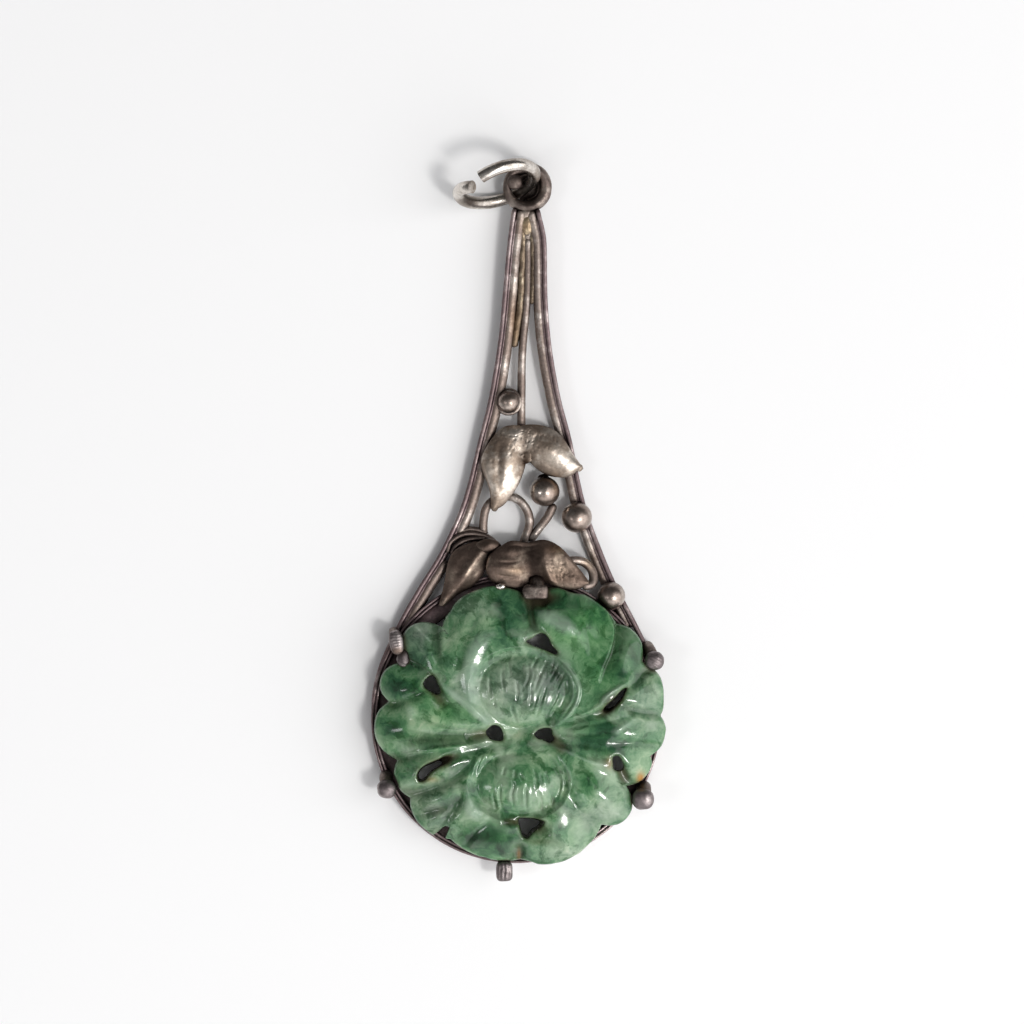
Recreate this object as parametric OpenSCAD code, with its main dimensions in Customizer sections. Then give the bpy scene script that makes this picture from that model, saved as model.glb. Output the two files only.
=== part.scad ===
// Jade pendant: a carved and pierced jade flower, held by claws in a soldered silver frame
// that rises to an eye, with an open jump ring through the eye.
// The pendant lies on its back. X runs across it, Y up to the eye, Z away from the surface.

/* [Stone] */
// Height of the stone's flat back above the surface
stone_seat = 1.9; // [1.8:0.05:2.4]
// Thickness of the stone at its rim
stone_rim = 1.5; // [1.0:0.1:2.0]
// How far the petals rise above the rim
petal_rise = 1.9; // [1.2:0.1:2.6]
// How far each petal is rounded across its width
petal_curve = 0.55; // [0.2:0.05:0.8]
// How far the two centre buds rise
bud_rise = 1.69; // [1.4:0.01:2.0]
// How far the hollow round each bud reaches beyond it
bud_hollow = 0.57; // [0.4:0.01:0.8]
// Gap between the stone and the silver
stone_gap = 0.12; // [0.08:0.02:0.2]

/* [Setting] */
// Outer radius of the setting ring
setting_r = 15.21; // [14.8:0.01:15.6]
// Thickness of the setting ring's strip
setting_w = 0.6; // [0.4:0.05:0.8]
// Height of the setting ring
setting_h = 1.75; // [1.2:0.05:1.8]

/* [Frame] */
// Thickness of the two edge strips
edge_w = 0.5; // [0.4:0.05:0.7]
// Height of the two edge strips
edge_h = 1.48; // [1.2:0.02:1.6]
// Width of the thick side wires
side_w = 1.21; // [1.0:0.01:1.3]
// Width of the centre wire
centre_w = 0.86; // [0.7:0.01:1.0]
// How deep the thick side wires are soldered into the edge strips
joined = 0.13; // [0.1:0.01:0.2]
// Height of the wires' middle above the surface, beside the stone
frame_z = 0.9; // [0.8:0.05:1.0]
// How much higher the middle of the stem's top is
stem_rise = 1.2; // [1.1:0.05:1.4]

/* [Eye and jump ring] */
// Radius of the eye, to the middle of its wire
eye_r = 2.05; // [1.95:0.05:2.2]
// Thickness of the eye's wire
eye_wire = 1.24; // [1.0:0.02:1.3]
// Radius of the jump ring, to the middle of its wire
ring_r = 4.08; // [3.9:0.02:4.2]
// Thickness of the jump ring's wire
ring_wire = 1.1; // [0.9:0.05:1.15]
// Opening between the jump ring's ends, in degrees
ring_open = 27; // [20:1:45]

/* [Ornament] */
// Thickness of the leaves
leaf_t = 0.5; // [0.4:0.05:0.7]
// Width of the tendrils' wire
tendril_w = 0.86; // [0.7:0.01:1.0]

/* [Hidden] */

silver = "#8d867f";
bright_silver = "#c9c7c4";
jade = "#5f8f6d";

stone_x = 0.13;
stone_y = -21.97;
setting_x = -0.17;
setting_y = -20.85;
setting_top = 0.1;
eye_x = 0.92;
eye_y = 34.87;
ring_x = -2.20;
ring_y = 35.13;
ring_lean = 67.2;
ring_roll = 6.3;
ring_turn = 13.0;
ring_first = -218;

// Each petal: direction in degrees, reach of its tip, half its width in degrees,
// and how much shorter it is at that half width
PETALS = [
    [63, 15.70, 22, 1.2],
    [39, 15.85, 13, 1.9],
    [17, 15.85, 13, 1.3],
    [-1, 15.40, 8, 0.8],
    [-17, 14.45, 9, 1.2],
    [-39, 14.65, 12, 2.2],
    [-71, 14.55, 18, 0.9],
    [-105, 13.75, 20, 1.4],
    [-136, 14.20, 12, 1.0],
    [-156, 14.05, 9, 0.7],
    [179, 15.15, 13, 1.4],
    [159, 15.45, 10, 1.7],
    [138, 15.75, 10, 1.8],
    [105, 15.35, 19, 1.4]
];

// Each bud: x and y of its middle, half width, half height
BUDS = [
    [0.44, -17.78, 5.0, 3.9],
    [0.10, -27.60, 4.8, 3.4]
];

// Each opening through the stone: x and y of its two ends, and its width
OPENINGS = [
    [-2.75, -22.40, -2.25, -22.15, 1.45],
    [2.20, -22.60, 3.10, -22.50, 1.45],
    [1.50, -12.60, 2.50, -12.80, 0.95],
    [2.50, -12.80, 3.45, -13.60, 1.30],
    [-9.05, -16.70, -8.80, -17.90, 1.40],
    [9.30, -20.05, 11.10, -17.80, 1.15],
    [-10.00, -26.90, -7.40, -25.00, 1.05],
    [10.25, -25.10, 10.60, -26.00, 1.10],
    [0.80, -31.60, 2.80, -32.00, 1.70],
    [-8.02, -32.28, -8.20, -33.30, 1.00]
];

// Outer side of the frame, from the eye down to the setting: x, y
LEFT_EDGE = [
    [-0.65, 32.3], [-1.20, 28.0], [-1.72, 22.0], [-2.20, 17.8], [-3.08, 12.6],
    [-4.14, 8.4], [-5.77, 2.0], [-8.08, -3.2], [-10.40, -7.0], [-12.45, -10.6],
    [-14.30, -14.6], [-15.24, -18.0], [-15.37, -20.9]
];
RIGHT_EDGE = [
    [2.39, 32.2], [3.02, 29.0], [3.13, 23.1], [3.60, 17.8], [4.55, 12.6],
    [5.65, 8.4], [7.02, 2.0], [8.44, -2.2], [10.18, -6.4], [12.34, -10.6],
    [13.75, -13.6], [14.80, -17.4], [15.07, -20.9]
];

// Lowest point of each thick side wire, and where the left one goes on below the curl: y
LEFT_WIRE_END = -2.0;
LEFT_WIRE_AGAIN = -3.4;
LEFT_WIRE_LAST = -11.7;
RIGHT_WIRE_LAST = -11.4;

// Middle of the centre wire, and of the solder on either side of it: x, y
CENTRE_WIRE = [[1.05, 29.6], [1.00, 24.0], [0.50, 17.8], [0.39, 14.0], [0.39, 8.0]];
LEFT_SOLDER = [[0.50, 32.0], [0.48, 27.0], [0.28, 22.8], [-0.20, 19.6], [-0.40, 18.1]];
RIGHT_SOLDER = [[1.45, 32.0], [1.60, 27.0], [1.48, 23.3]];

// Each ball: x, y, radius, height of its middle above the wires' middle
BALLS = [
    [-0.95, 12.36, 1.20, 0.70],
    [2.83, 2.87, 1.55, 0.75],
    [6.19, 0.24, 1.61, 0.85],
    [9.81, -8.01, 1.47, 1.10]
];

// Each claw: x and y of its foot, x and y of its tip, height and radius of its tip,
// and how long the tip is along the page beside its width
CLAWS = [
    [13.65, -13.50, 14.30, -14.75, 3.7, 1.00, 1],
    [13.20, -28.20, 13.10, -29.25, 3.5, 1.15, 1],
    [-1.45, -35.80, -1.40, -36.90, 3.4, 0.95, 1],
    [-13.80, -27.00, -13.73, -28.20, 3.5, 1.00, 1],
    [-13.00, -11.90, -12.70, -13.35, 3.9, 0.75, 1.3],
    [2.00, -6.20, 2.02, -7.60, 4.1, 1.15, 0.6]
];

// Each leaf: its left edge and its right edge, seen from the stalk, as rows of x, y
UPPER_LEFT_LEAF = [
    [[0.8, 9.4], [0.9, 7.8], [0.85, 5.9], [0.2, 3.9], [-0.6, 2.6], [-1.5, 1.5], [-2.35, 1.05]],
    [[0.2, 9.9], [-1.3, 9.8], [-2.6, 8.7], [-3.6, 7.0], [-3.8, 5.6], [-3.0, 3.2], [-2.75, 1.05]]
];
UPPER_RIGHT_LEAF = [
    [[0.3, 9.9], [1.4, 10.0], [2.5, 9.9], [3.7, 9.5], [4.8, 8.5], [5.8, 6.9], [6.62, 5.75]],
    [[0.6, 8.0], [0.9, 6.6], [1.7, 5.6], [2.8, 5.0], [4.0, 4.6], [5.4, 4.6], [6.52, 5.40]]
];
LOW_LEFT_LEAF = [
    [[-2.6, -2.9], [-3.2, -4.2], [-4.2, -5.8], [-5.3, -7.0], [-6.5, -8.0], [-7.7, -9.1]],
    [[-3.0, -2.2], [-4.8, -2.5], [-6.4, -3.2], [-7.3, -4.6], [-7.8, -6.8], [-8.3, -9.0]]
];
CENTRE_LEFT_LEAF = [
    [[1.2, -7.2], [-0.4, -7.2], [-1.8, -6.9], [-2.7, -6.2], [-3.1, -5.5], [-3.25, -5.1]],
    [[1.2, -2.2], [-0.6, -2.2], [-1.9, -2.9], [-2.8, -3.8], [-3.15, -4.5], [-3.25, -4.8]]
];
CENTRE_RIGHT_LEAF = [
    [[0.9, -2.2], [2.7, -2.1], [4.1, -2.6], [5.3, -3.7], [6.5, -5.2], [7.5, -6.5]],
    [[0.9, -7.2], [2.4, -6.6], [3.3, -6.8], [4.5, -7.3], [6.1, -7.35], [7.4, -6.8]]
];

// Each tendril: rows of x, y, and height above the wires' middle
ARCH = [
    [-3.5, -1.4, 0.0], [-3.5, 0.2, 0.3], [-2.8, 1.6, 0.4], [-1.2, 2.2, 0.4],
    [0.4, 1.5, 0.4], [1.0, 0.1, 0.3], [0.9, -1.6, 0.0]
];
BERRY_STALK = [[3.6, 1.6, 0.4], [3.0, 0.2, 0.2], [1.3, -1.7, 0.0]];
LEFT_CURL = [
    [-1.0, -2.2, 0.2], [-3.4, -1.5, 0.3], [-5.5, -1.5, 0.4], [-7.0, -2.3, 0.4],
    [-7.4, -3.6, 0.3]
];
LEFT_CURL_UPPER = [[-3.1, -1.0, 0.1], [-5.0, -1.0, 0.1], [-6.6, -1.5, 0.1]];
RIGHT_CURL = [
    [5.2, -4.3, 2.0], [6.8, -4.4, 1.6], [7.8, -5.4, 1.5], [7.8, -6.7, 1.8], [6.7, -7.0, 2.3]
];

function unit(v) = v / norm(v);

// Smooth curve through the rows of a table
function bend(a, b, c, d, t) =
    b + 0.5 * t * ((c - a) + t * ((2 * a - 5 * b + 4 * c - d) + t * (3 * b - a - 3 * c + d)));
function smooth(rows, steps) = let (last = len(rows) - 1) [
    for (i = [0:last - 1], s = [0:steps - 1])
        bend(rows[max(i - 1, 0)], rows[i], rows[i + 1], rows[min(i + 2, last)], s / steps),
    rows[last]
];

// Height of the wires' middle, which rises up the stem so that the eye clears the jump ring
function level(y) = frame_z + stem_rise * pow(max(0, y + 2) / (eye_y + 2), 1.2);
function on_frame(rows) = [for (p = rows) [p.x, p.y, level(p.y) + (len(p) > 2 ? p.z : 0)]];

// Bar of the given width and height along a curve; ends gives its scale at both ends
module bar(curve, wide, high, sides = 8, ends = [1, 1], beside = 0) {
    count = len(curve);
    reach = 1 / cos(180 / sides);
    points = [
        for (i = [0:count - 1])
            let (
                ahead = unit(curve[min(i + 1, count - 1)] - curve[max(i - 1, 0)]),
                side = unit(cross([0, 0, 1], ahead)),
                up = cross(ahead, side),
                size = reach * (ends[0] + (ends[1] - ends[0]) * i / (count - 1))
            )
            for (j = [0:sides - 1])
                let (a = 360 * (j + 0.5) / sides)
                curve[i] + side * beside + size * (side * cos(a) * wide + up * sin(a) * high) / 2
    ];
    faces = concat(
        [[for (j = [0:sides - 1]) j]],
        [for (i = [0:count - 2], j = [0:sides - 1])
            let (a = i * sides + j, b = i * sides + (j + 1) % sides)
            [a, a + sides, b + sides, b]],
        [[for (j = [sides - 1:-1:0]) (count - 1) * sides + j]]
    );
    polyhedron(points, faces);
}

// Domed leaf between its two edges; low and high are the heights of its stalk and its tip
module leaf(edges, low, high, dome, steps = 2, across = 6) {
    left = smooth(edges[0], steps);
    right = smooth(edges[1], steps);
    count = len(left);
    row = across + 1;
    top = [
        for (i = [0:count - 1], j = [0:across])
            let (
                u = i / (count - 1),
                v = j / across,
                p = left[i] * (1 - v) + right[i] * v,
                arch = dome * pow(4 * v * (1 - v), 0.8) * pow(sin(20 + 150 * u), 0.8)
            )
            [p.x, p.y, low + (high - low) * u + arch]
    ];
    under = [for (p = top) p - [0, 0, leaf_t]];
    size = len(top);
    rim = concat(
        [for (j = [0:across - 1]) j],
        [for (i = [0:count - 2]) i * row + across],
        [for (j = [across:-1:1]) (count - 1) * row + j],
        [for (i = [count - 1:-1:1]) i * row]
    );
    faces = concat(
        [for (i = [0:count - 2], j = [0:across - 1])
            let (a = i * row + j)
            each [[a, a + row, a + row + 1], [a, a + row + 1, a + 1]]],
        [for (i = [0:count - 2], j = [0:across - 1])
            let (a = size + i * row + j)
            each [[a, a + row + 1, a + row], [a, a + 1, a + row + 1]]],
        [for (i = [0:len(rim) - 1])
            let (a = rim[i], b = rim[(i + 1) % len(rim)])
            each [[a, b, b + size], [a, b + size, a + size]]]
    );
    polyhedron(concat(top, under), faces);
}

// Difference of two directions, from -180 to 180 degrees
function turn(a, b) = let (d = (a - b) % 360) d > 180 ? d - 360 : d < -180 ? d + 360 : d;

// Reach of the stone's outline in a direction, and how far up a petal's back that direction is
function reach(a) = max(12.7, max([
    for (p = PETALS) p[1] - p[3] * pow(abs(turn(a, p[0])) / p[2], 2.2)
]));
function swell(a) = max([for (p = PETALS) 1 - pow(turn(a, p[0]) / p[2], 2)]);

// Height of the petals above the stone's back; s runs from the middle to the rim
function petal_z(s, a) = let (
    far = (s - 0.6) / 0.4,
    near = (0.6 - s) / 0.6,
    body = s > 0.6 ? 1 - far * far : 1 - 0.7 * near * near
) stone_rim + petal_rise * body
    + petal_curve * (max(swell(a), -0.6) - 0.4) * pow(max(0, s - 0.2) / 0.8, 1.2);

// The stone before it is pierced; grow makes it larger all round, to cut its place in the silver
module stone_body(grow = 0, rays = 96, rings = 15) {
    points = concat(
        [for (k = [1:rings], i = [0:rays - 1])
            let (
                a = 360 * i / rays,
                s = pow(k / rings, 0.85),
                r = s * reach(a) + grow * k / rings
            )
            [stone_x + r * cos(a), stone_y + r * sin(a), stone_seat + petal_z(s, a) + grow]],
        [for (i = [0:rays - 1])
            let (a = 360 * i / rays, r = reach(a) - 0.25 + grow)
            [stone_x + r * cos(a), stone_y + r * sin(a), stone_seat - grow]],
        [[stone_x, stone_y, stone_seat + petal_z(0, 0) + grow]]
    );
    size = rings * rays;
    faces = concat(
        [for (i = [0:rays - 1]) [size + rays, (i + 1) % rays, i]],
        [for (k = [0:rings - 1], i = [0:rays - 1])
            let (a = k * rays + i, b = k * rays + (i + 1) % rays)
            each [[a, b, b + rays], [a, b + rays, a + rays]]],
        [[for (i = [0:rays - 1]) size + i]]
    );
    polyhedron(points, faces);
}

module bud(b) {
    translate([b[0], b[1], stone_seat + stone_rim + 0.6])
        scale([b[2], b[3], bud_rise]) sphere(1, $fn = 28);
}

module hollow_round_bud(b) {
    translate([b[0], b[1], stone_seat + stone_rim + petal_rise + 0.2])
        scale([b[2] + bud_hollow, b[3] + bud_hollow, 1.3]) sphere(1, $fn = 32);
}

module jade_flower() {
    color(jade) difference() {
        union() {
            difference() {
                stone_body();
                for (b = BUDS) hollow_round_bud(b);
            }
            for (b = BUDS) bud(b);
        }
        for (p = OPENINGS)
            hull() {
                for (q = [[p[0], p[1]], [p[2], p[3]]])
                    translate([q.x, q.y, 0]) cylinder(h = 12, d = p[4], $fn = 16);
            }
    }
}

// Part of a curve between two heights on the page
function between(curve, top, low) = [for (p = curve) if (p.y <= top && p.y >= low) p];

// Middle of each step of a curve: a wire's sections lie there, between those of its strip
function halfway(curve) = [for (i = [0:len(curve) - 2]) (curve[i] + curve[i + 1]) / 2];

module frame_sides() {
    left = smooth(on_frame(LEFT_EDGE), 2);
    right = smooth(on_frame(RIGHT_EDGE), 2);
    left_wire = halfway(left);
    right_wire = between(halfway(right), 33, RIGHT_WIRE_LAST);
    inset = edge_w + side_w / 2 - joined;
    bar(left, edge_w, edge_h, 4, beside = edge_w / 2);
    bar(right, edge_w, edge_h, 4, beside = -edge_w / 2);
    bar(between(left_wire, 33, LEFT_WIRE_END), side_w, side_w, beside = inset);
    bar(between(left_wire, LEFT_WIRE_AGAIN, LEFT_WIRE_LAST), side_w, side_w, beside = inset);
    bar(right_wire, side_w, side_w, ends = [1, 0.8], beside = -inset);
}

module centre_wire() {
    bar(smooth(on_frame(CENTRE_WIRE), 3), centre_w, centre_w);
    top = CENTRE_WIRE[0];
    translate([top.x, top.y, level(top.y)]) sphere(d = centre_w, $fn = 12);
}

module solder_runs() {
    bar(smooth(on_frame(LEFT_SOLDER), 2), 0.9, 0.75, 6);
    bar(smooth(on_frame(RIGHT_SOLDER), 2), 0.7, 0.75, 6);
    hull() {
        for (p = [[0.1, 31.9], [1.7, 31.9], [0.9, 30.6]])
            translate([p.x, p.y, level(p.y)]) sphere(d = 1.15, $fn = 8);
    }
}

module eye() {
    translate([eye_x, eye_y, frame_z + stem_rise])
        rotate_extrude($fn = 32) translate([eye_r, 0]) circle(d = eye_wire, $fn = 8);
}

module setting_ring() {
    translate([setting_x, setting_y, 0])
        rotate_extrude($fn = 72)
            polygon([
                [setting_r - setting_w, 0], [setting_r, 0], [setting_r, setting_h],
                [setting_r - setting_w + setting_top, setting_h],
                [setting_r - setting_w, setting_h - setting_top]
            ]);
}

module balls() {
    for (b = BALLS)
        translate([b[0], b[1], level(b[1]) + b[3]]) sphere(r = b[2], $fn = 16);
    cup = BALLS[0];
    translate([cup[0], cup[1], level(cup[1]) + 0.25])
        rotate_extrude($fn = 16) translate([cup[2], 0]) circle(d = 0.55, $fn = 6);
}

module claws() {
    for (c = CLAWS) {
        hull() {
            translate([c[0], c[1], 0.3]) cylinder(h = 1, d = 0.9, $fn = 8);
            translate([c[2], c[3], c[4] - 0.6]) sphere(r = c[5] * 0.7, $fn = 8);
        }
        translate([c[2], c[3], c[4]]) scale([1, c[6], 1]) sphere(r = c[5], $fn = 12);
    }
}

module leaves() {
    leaf(UPPER_LEFT_LEAF, 2.1, 2.3, 0.9);
    leaf(UPPER_RIGHT_LEAF, 2.1, 2.3, 0.9);
    leaf(LOW_LEFT_LEAF, 2.3, 2.2, 0.8);
    leaf(CENTRE_LEFT_LEAF, 3.1, 3.3, 0.8);
    leaf(CENTRE_RIGHT_LEAF, 3.1, 3.3, 0.8);
}

// Posts that carry the leaves on the wires and the setting ring
module leaf_posts() {
    for (p = [[0.5, 8.9, 2.2], [-3.2, 5.4, 2.2], [5.4, 5.8, 2.2],
              [-3.4, -3.0, 2.2], [-7.6, -6.3, 2.1], [1.0, -5.5, 3.0], [-2.0, -5.8, 3.2],
              [0.9, -2.4, 2.9]])
        hull() {
            translate([p.x, p.y, 0.6]) cylinder(h = 0.3, d = 1.3, $fn = 8);
            translate([p.x, p.y, p.z - 0.3]) cylinder(h = 0.3, d = 1.0, $fn = 8);
        }
}

module tendrils() {
    for (t = [ARCH, BERRY_STALK, LEFT_CURL, LEFT_CURL_UPPER, RIGHT_CURL])
        bar(smooth(on_frame(t), 3), tendril_w, tendril_w, 6);
}

module silver_mount() {
    color(silver) difference() {
        union() {
            frame_sides();
            centre_wire();
            solder_runs();
            eye();
            setting_ring();
            balls();
            claws();
            leaves();
            leaf_posts();
            tendrils();
        }
        stone_body(stone_gap);
    }
}

module jump_ring() {
    lowest = ring_r * norm([sin(ring_roll), cos(ring_roll) * sin(ring_lean)]);
    color(bright_silver)
        translate([ring_x, ring_y, lowest + ring_wire / 2])
            rotate([ring_lean, ring_roll, ring_turn])
                rotate([0, 0, ring_first])
                    rotate_extrude(angle = 360 - ring_open, $fn = 96)
                        translate([ring_r, 0]) circle(d = ring_wire, $fn = 32);
}

silver_mount();
jade_flower();
jump_ring();
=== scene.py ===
import math

import bmesh
import bpy
import numpy as np
from mathutils import Matrix, Vector, geometry, noise


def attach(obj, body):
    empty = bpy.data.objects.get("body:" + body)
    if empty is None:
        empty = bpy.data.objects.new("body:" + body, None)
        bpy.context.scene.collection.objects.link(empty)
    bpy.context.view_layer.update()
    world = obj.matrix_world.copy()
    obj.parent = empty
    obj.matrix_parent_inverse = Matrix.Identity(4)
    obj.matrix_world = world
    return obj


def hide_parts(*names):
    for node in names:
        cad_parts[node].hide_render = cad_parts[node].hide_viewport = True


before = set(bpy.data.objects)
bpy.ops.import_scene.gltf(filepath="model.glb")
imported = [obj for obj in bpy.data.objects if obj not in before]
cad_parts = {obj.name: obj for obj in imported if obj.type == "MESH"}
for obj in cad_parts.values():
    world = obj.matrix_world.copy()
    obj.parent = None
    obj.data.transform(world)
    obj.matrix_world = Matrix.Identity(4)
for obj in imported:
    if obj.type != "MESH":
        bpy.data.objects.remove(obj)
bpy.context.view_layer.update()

mm = 0.001


def linear(hexColour, alpha=1.0):
    # sRGB hex to the linear values that the shader wants
    values = [int(hexColour[i:i + 2], 16) / 255 for i in (1, 3, 5)]
    return [v / 12.92 if v <= 0.04045 else ((v + 0.055) / 1.055) ** 2.4 for v in values] + [alpha]


def addNode(tree, kind, values=None):
    # small names are the node's own settings, the others are its sockets,
    # which take a value or the output of another node
    node = tree.nodes.new(kind)
    for key, value in (values or {}).items():
        if isinstance(key, str) and key[0].islower():
            setattr(node, key, value)
        elif isinstance(value, bpy.types.NodeSocket):
            tree.links.new(value, node.inputs[key])
        else:
            node.inputs[key].default_value = value
    return node


def addRamp(tree, source, stops):
    ramp = addNode(tree, "ShaderNodeValToRGB", {"Fac": source})
    band = ramp.color_ramp.elements
    while len(band) < len(stops):
        band.new(0.5)
    for element, (place, colour) in zip(band, stops):
        element.position = place
        element.color = linear(colour) if isinstance(colour, str) else [colour] * 3 + [1]
    return ramp.outputs["Color"]


def addNoise(tree, place, size, detail, roughness=0.5, **more):
    # size in mm
    return addNode(tree, "ShaderNodeTexNoise", {"Vector": place, "Scale": 1 / (size * mm),
        "Detail": detail, "Roughness": roughness, **more}).outputs[0]


def addRange(tree, value, low, high, first=0.0, last=1.0):
    return addNode(tree, "ShaderNodeMapRange", {"Value": value, "From Min": low, "From Max": high,
        "To Min": first, "To Max": last}).outputs[0]


def addMath(tree, operation, *values, clamp=False):
    return addNode(tree, "ShaderNodeMath", {"operation": operation, "use_clamp": clamp,
        **dict(enumerate(values))}).outputs[0]


def addMix(tree, share, colour, other, blend="MIX"):
    # the colours are hex texts or the outputs of other nodes
    colour, other = (linear(c) if isinstance(c, str) else c for c in (colour, other))
    return addNode(tree, "ShaderNodeMix", {"data_type": "RGBA", "blend_type": blend,
        0: share, 6: colour, 7: other}).outputs[2]


def readMarks(tree, names):
    # the attributes that setMarks writes
    return {k: addNode(tree, "ShaderNodeAttribute", {"attribute_name": k}).outputs["Fac"] for k in names}


def cornerShade(tree, reach):
    return addNode(tree, "ShaderNodeAmbientOcclusion", {"samples": 8, "Distance": reach * mm}).outputs["AO"]


def setShader(tree, colour, rough, height, strength, depth):
    bump = addNode(tree, "ShaderNodeBump",
        {"Height": height, "Strength": strength, "Distance": depth * mm}).outputs[0]
    shader = tree.nodes["Principled BSDF"]
    for name, source in (("Base Color", colour), ("Roughness", rough), ("Normal", bump)):
        tree.links.new(source, shader.inputs[name])


def addObject(name, data):
    made = bpy.data.objects.new(name, data)
    bpy.context.scene.collection.objects.link(made)
    return made


# room: pale table, soft boxes, camera straight above

room = {
    "tableColour": "#f6f6f7",
    "tableHalfWidth": 0.45,
    "worldColour": "#f4f4f4",
    "worldStrength": (0.46, 0.09),    # from below the picture, from above it
    "worldTurn": (-0.7, 0.5),         # the directions between which it changes
    "cameraHeight": 0.60,
    "sensor": 36,
    "viewWidth": 0.1078,
    "viewCentre": (-0.0006, 0.0008),
    # name: place, point it faces, width, height, watts, colour
    "boxes": {
        "rightPanel": ((0.40, -0.27, 0.87), (0, 0, 0), 0.13, 0.17, 3.1, "#fffdfa"),
        "rightSoftPanel": ((0.80, -0.28, 0.70), (0, 0, 0), 1.50, 1.50, 12.8, "#ffffff"),
        "leftPanel": ((-0.58, -0.19, 0.78), (0, 0, 0), 0.12, 0.22, 0.65, "#fdfdff"),
        "frontPanel": ((0.0, -0.90, 0.50), (0, 0, 0), 1.20, 0.50, 2.1, "#ffffff"),
    },
}


def makeRoom():
    scene = bpy.context.scene
    scene.view_settings.view_transform = "Standard"
    world = bpy.data.worlds.new("studio")
    world.use_nodes = True
    tree = world.node_tree
    background = tree.nodes["Background"]
    background.inputs["Color"].default_value = linear(room["worldColour"])
    direction = addNode(tree, "ShaderNodeTexCoord").outputs["Generated"]
    upward = addNode(tree, "ShaderNodeSeparateXYZ", {0: direction}).outputs[1]
    strength = addRange(tree, upward, *room["worldTurn"], *room["worldStrength"])
    tree.links.new(strength, background.inputs["Strength"])
    scene.world = world

    half = room["tableHalfWidth"]
    table = meshPiece("table", [(-half, -half, 0), (half, -half, 0), (half, half, 0), (-half, half, 0)],
        [(0, 1, 2, 3)], smooth=False)
    paint = bpy.data.materials.new("mattePaper")
    paint.use_nodes = True
    surface = paint.node_tree.nodes["Principled BSDF"].inputs
    surface["Base Color"].default_value = linear(room["tableColour"])
    surface["Roughness"].default_value = 0.8
    table.data.materials.append(paint)

    for name, (place, target, wide, high, strength, colour) in room["boxes"].items():
        lamp = bpy.data.lights.new(name, "AREA")
        lamp.shape = "RECTANGLE"
        lamp.size, lamp.size_y = wide, high
        lamp.energy = strength
        lamp.color = linear(colour)[:3]
        holder = addObject(name, lamp)
        holder.location = place
        holder.rotation_euler = (Vector(target) - Vector(place)).to_track_quat("-Z", "Y").to_euler()

    lens = bpy.data.cameras.new("camera")
    lens.sensor_width = lens.sensor_height = room["sensor"]
    lens.lens = room["sensor"] * room["cameraHeight"] / room["viewWidth"]
    lens.clip_start, lens.clip_end = 0.01, 5
    camera = addObject("camera", lens)
    camera.location = (*room["viewCentre"], room["cameraHeight"])
    scene.camera = camera
    print("room done")


# curves and meshes

def meshPiece(name, points, faces, smooth=True):
    mesh = bpy.data.meshes.new(name)
    mesh.from_pydata([tuple(p) for p in points], [], [tuple(f) for f in faces])
    mesh.update()
    if smooth:
        mesh.shade_smooth()
    else:
        mesh.shade_flat()
    return addObject(name, mesh)


def smoothRows(rows, steps):
    # smooth curve through the rows of a table
    rows = np.array(rows, float)
    last = len(rows) - 1
    made = []
    for i in range(last):
        a, b, c, d = rows[max(i - 1, 0)], rows[i], rows[i + 1], rows[min(i + 2, last)]
        for t in np.arange(steps) / steps:
            bend = (2 * a - 5 * b + 4 * c - d) + t * (3 * b - a - 3 * c + d)
            made.append(b + 0.5 * t * ((c - a) + t * bend))
    return np.array(made + [rows[last]])


frameShape = {
    "wireMiddle": 0.9,    # above the table, beside the stone
    "stemRise": 1.2,      # and how much higher at the eye
    "eyeCentre": (0.92, 34.87),
}


def levelAt(y):
    top = frameShape["eyeCentre"][1] + 2
    share = np.maximum(0, np.asarray(y, float) + 2) / top
    return frameShape["wireMiddle"] + frameShape["stemRise"] * share ** 1.2


def onFrame(rows, steps=8):
    # x, y and height above the wires' middle become x, y, z
    rows = np.array([list(r) + [0] * (3 - len(r)) for r in rows], float)
    rows[:, 2] += levelAt(rows[:, 1])
    return smoothRows(rows, steps)


def between(rows, top, low):
    return rows[(rows[:, 1] <= top) & (rows[:, 1] >= low)]


def beside(rows, offset):
    # the same curve moved sideways in plan
    ahead = np.gradient(rows[:, :2], axis=0)
    ahead /= np.linalg.norm(ahead, axis=1)[:, None]
    moved = rows.copy()
    moved[:, 0] -= ahead[:, 1] * offset
    moved[:, 1] += ahead[:, 0] * offset
    return moved


def along(rows):
    steps = np.linalg.norm(np.diff(rows[:, :3], axis=0), axis=1)
    return np.concatenate([[0], np.cumsum(steps)])


def nearLine(xy, line):
    # distance to a line, how far along it from 0 to 1, the nearest place, and the side:
    # 1 is left of the way it runs
    best = np.full(len(xy), 1e9)
    part = np.zeros(len(xy))
    foot = np.zeros((len(xy), 2))
    side = np.ones(len(xy))
    length = along(np.column_stack([line, np.zeros(len(line))]))
    for i in range(len(line) - 1):
        a, step = line[i], line[i + 1] - line[i]
        t = np.clip(((xy - a) @ step) / max(step @ step, 1e-12), 0, 1)
        spot = a + t[:, None] * step
        away = np.linalg.norm(xy - spot, axis=1)
        closer = away < best
        best[closer] = away[closer]
        foot[closer] = spot[closer]
        side[closer] = np.where(step[0] * (xy - a)[:, 1] > step[1] * (xy - a)[:, 0], 1, -1)[closer]
        part[closer] = ((length[i] + t * (length[i + 1] - length[i])) / length[-1])[closer]
    return best, part, foot, side


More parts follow.
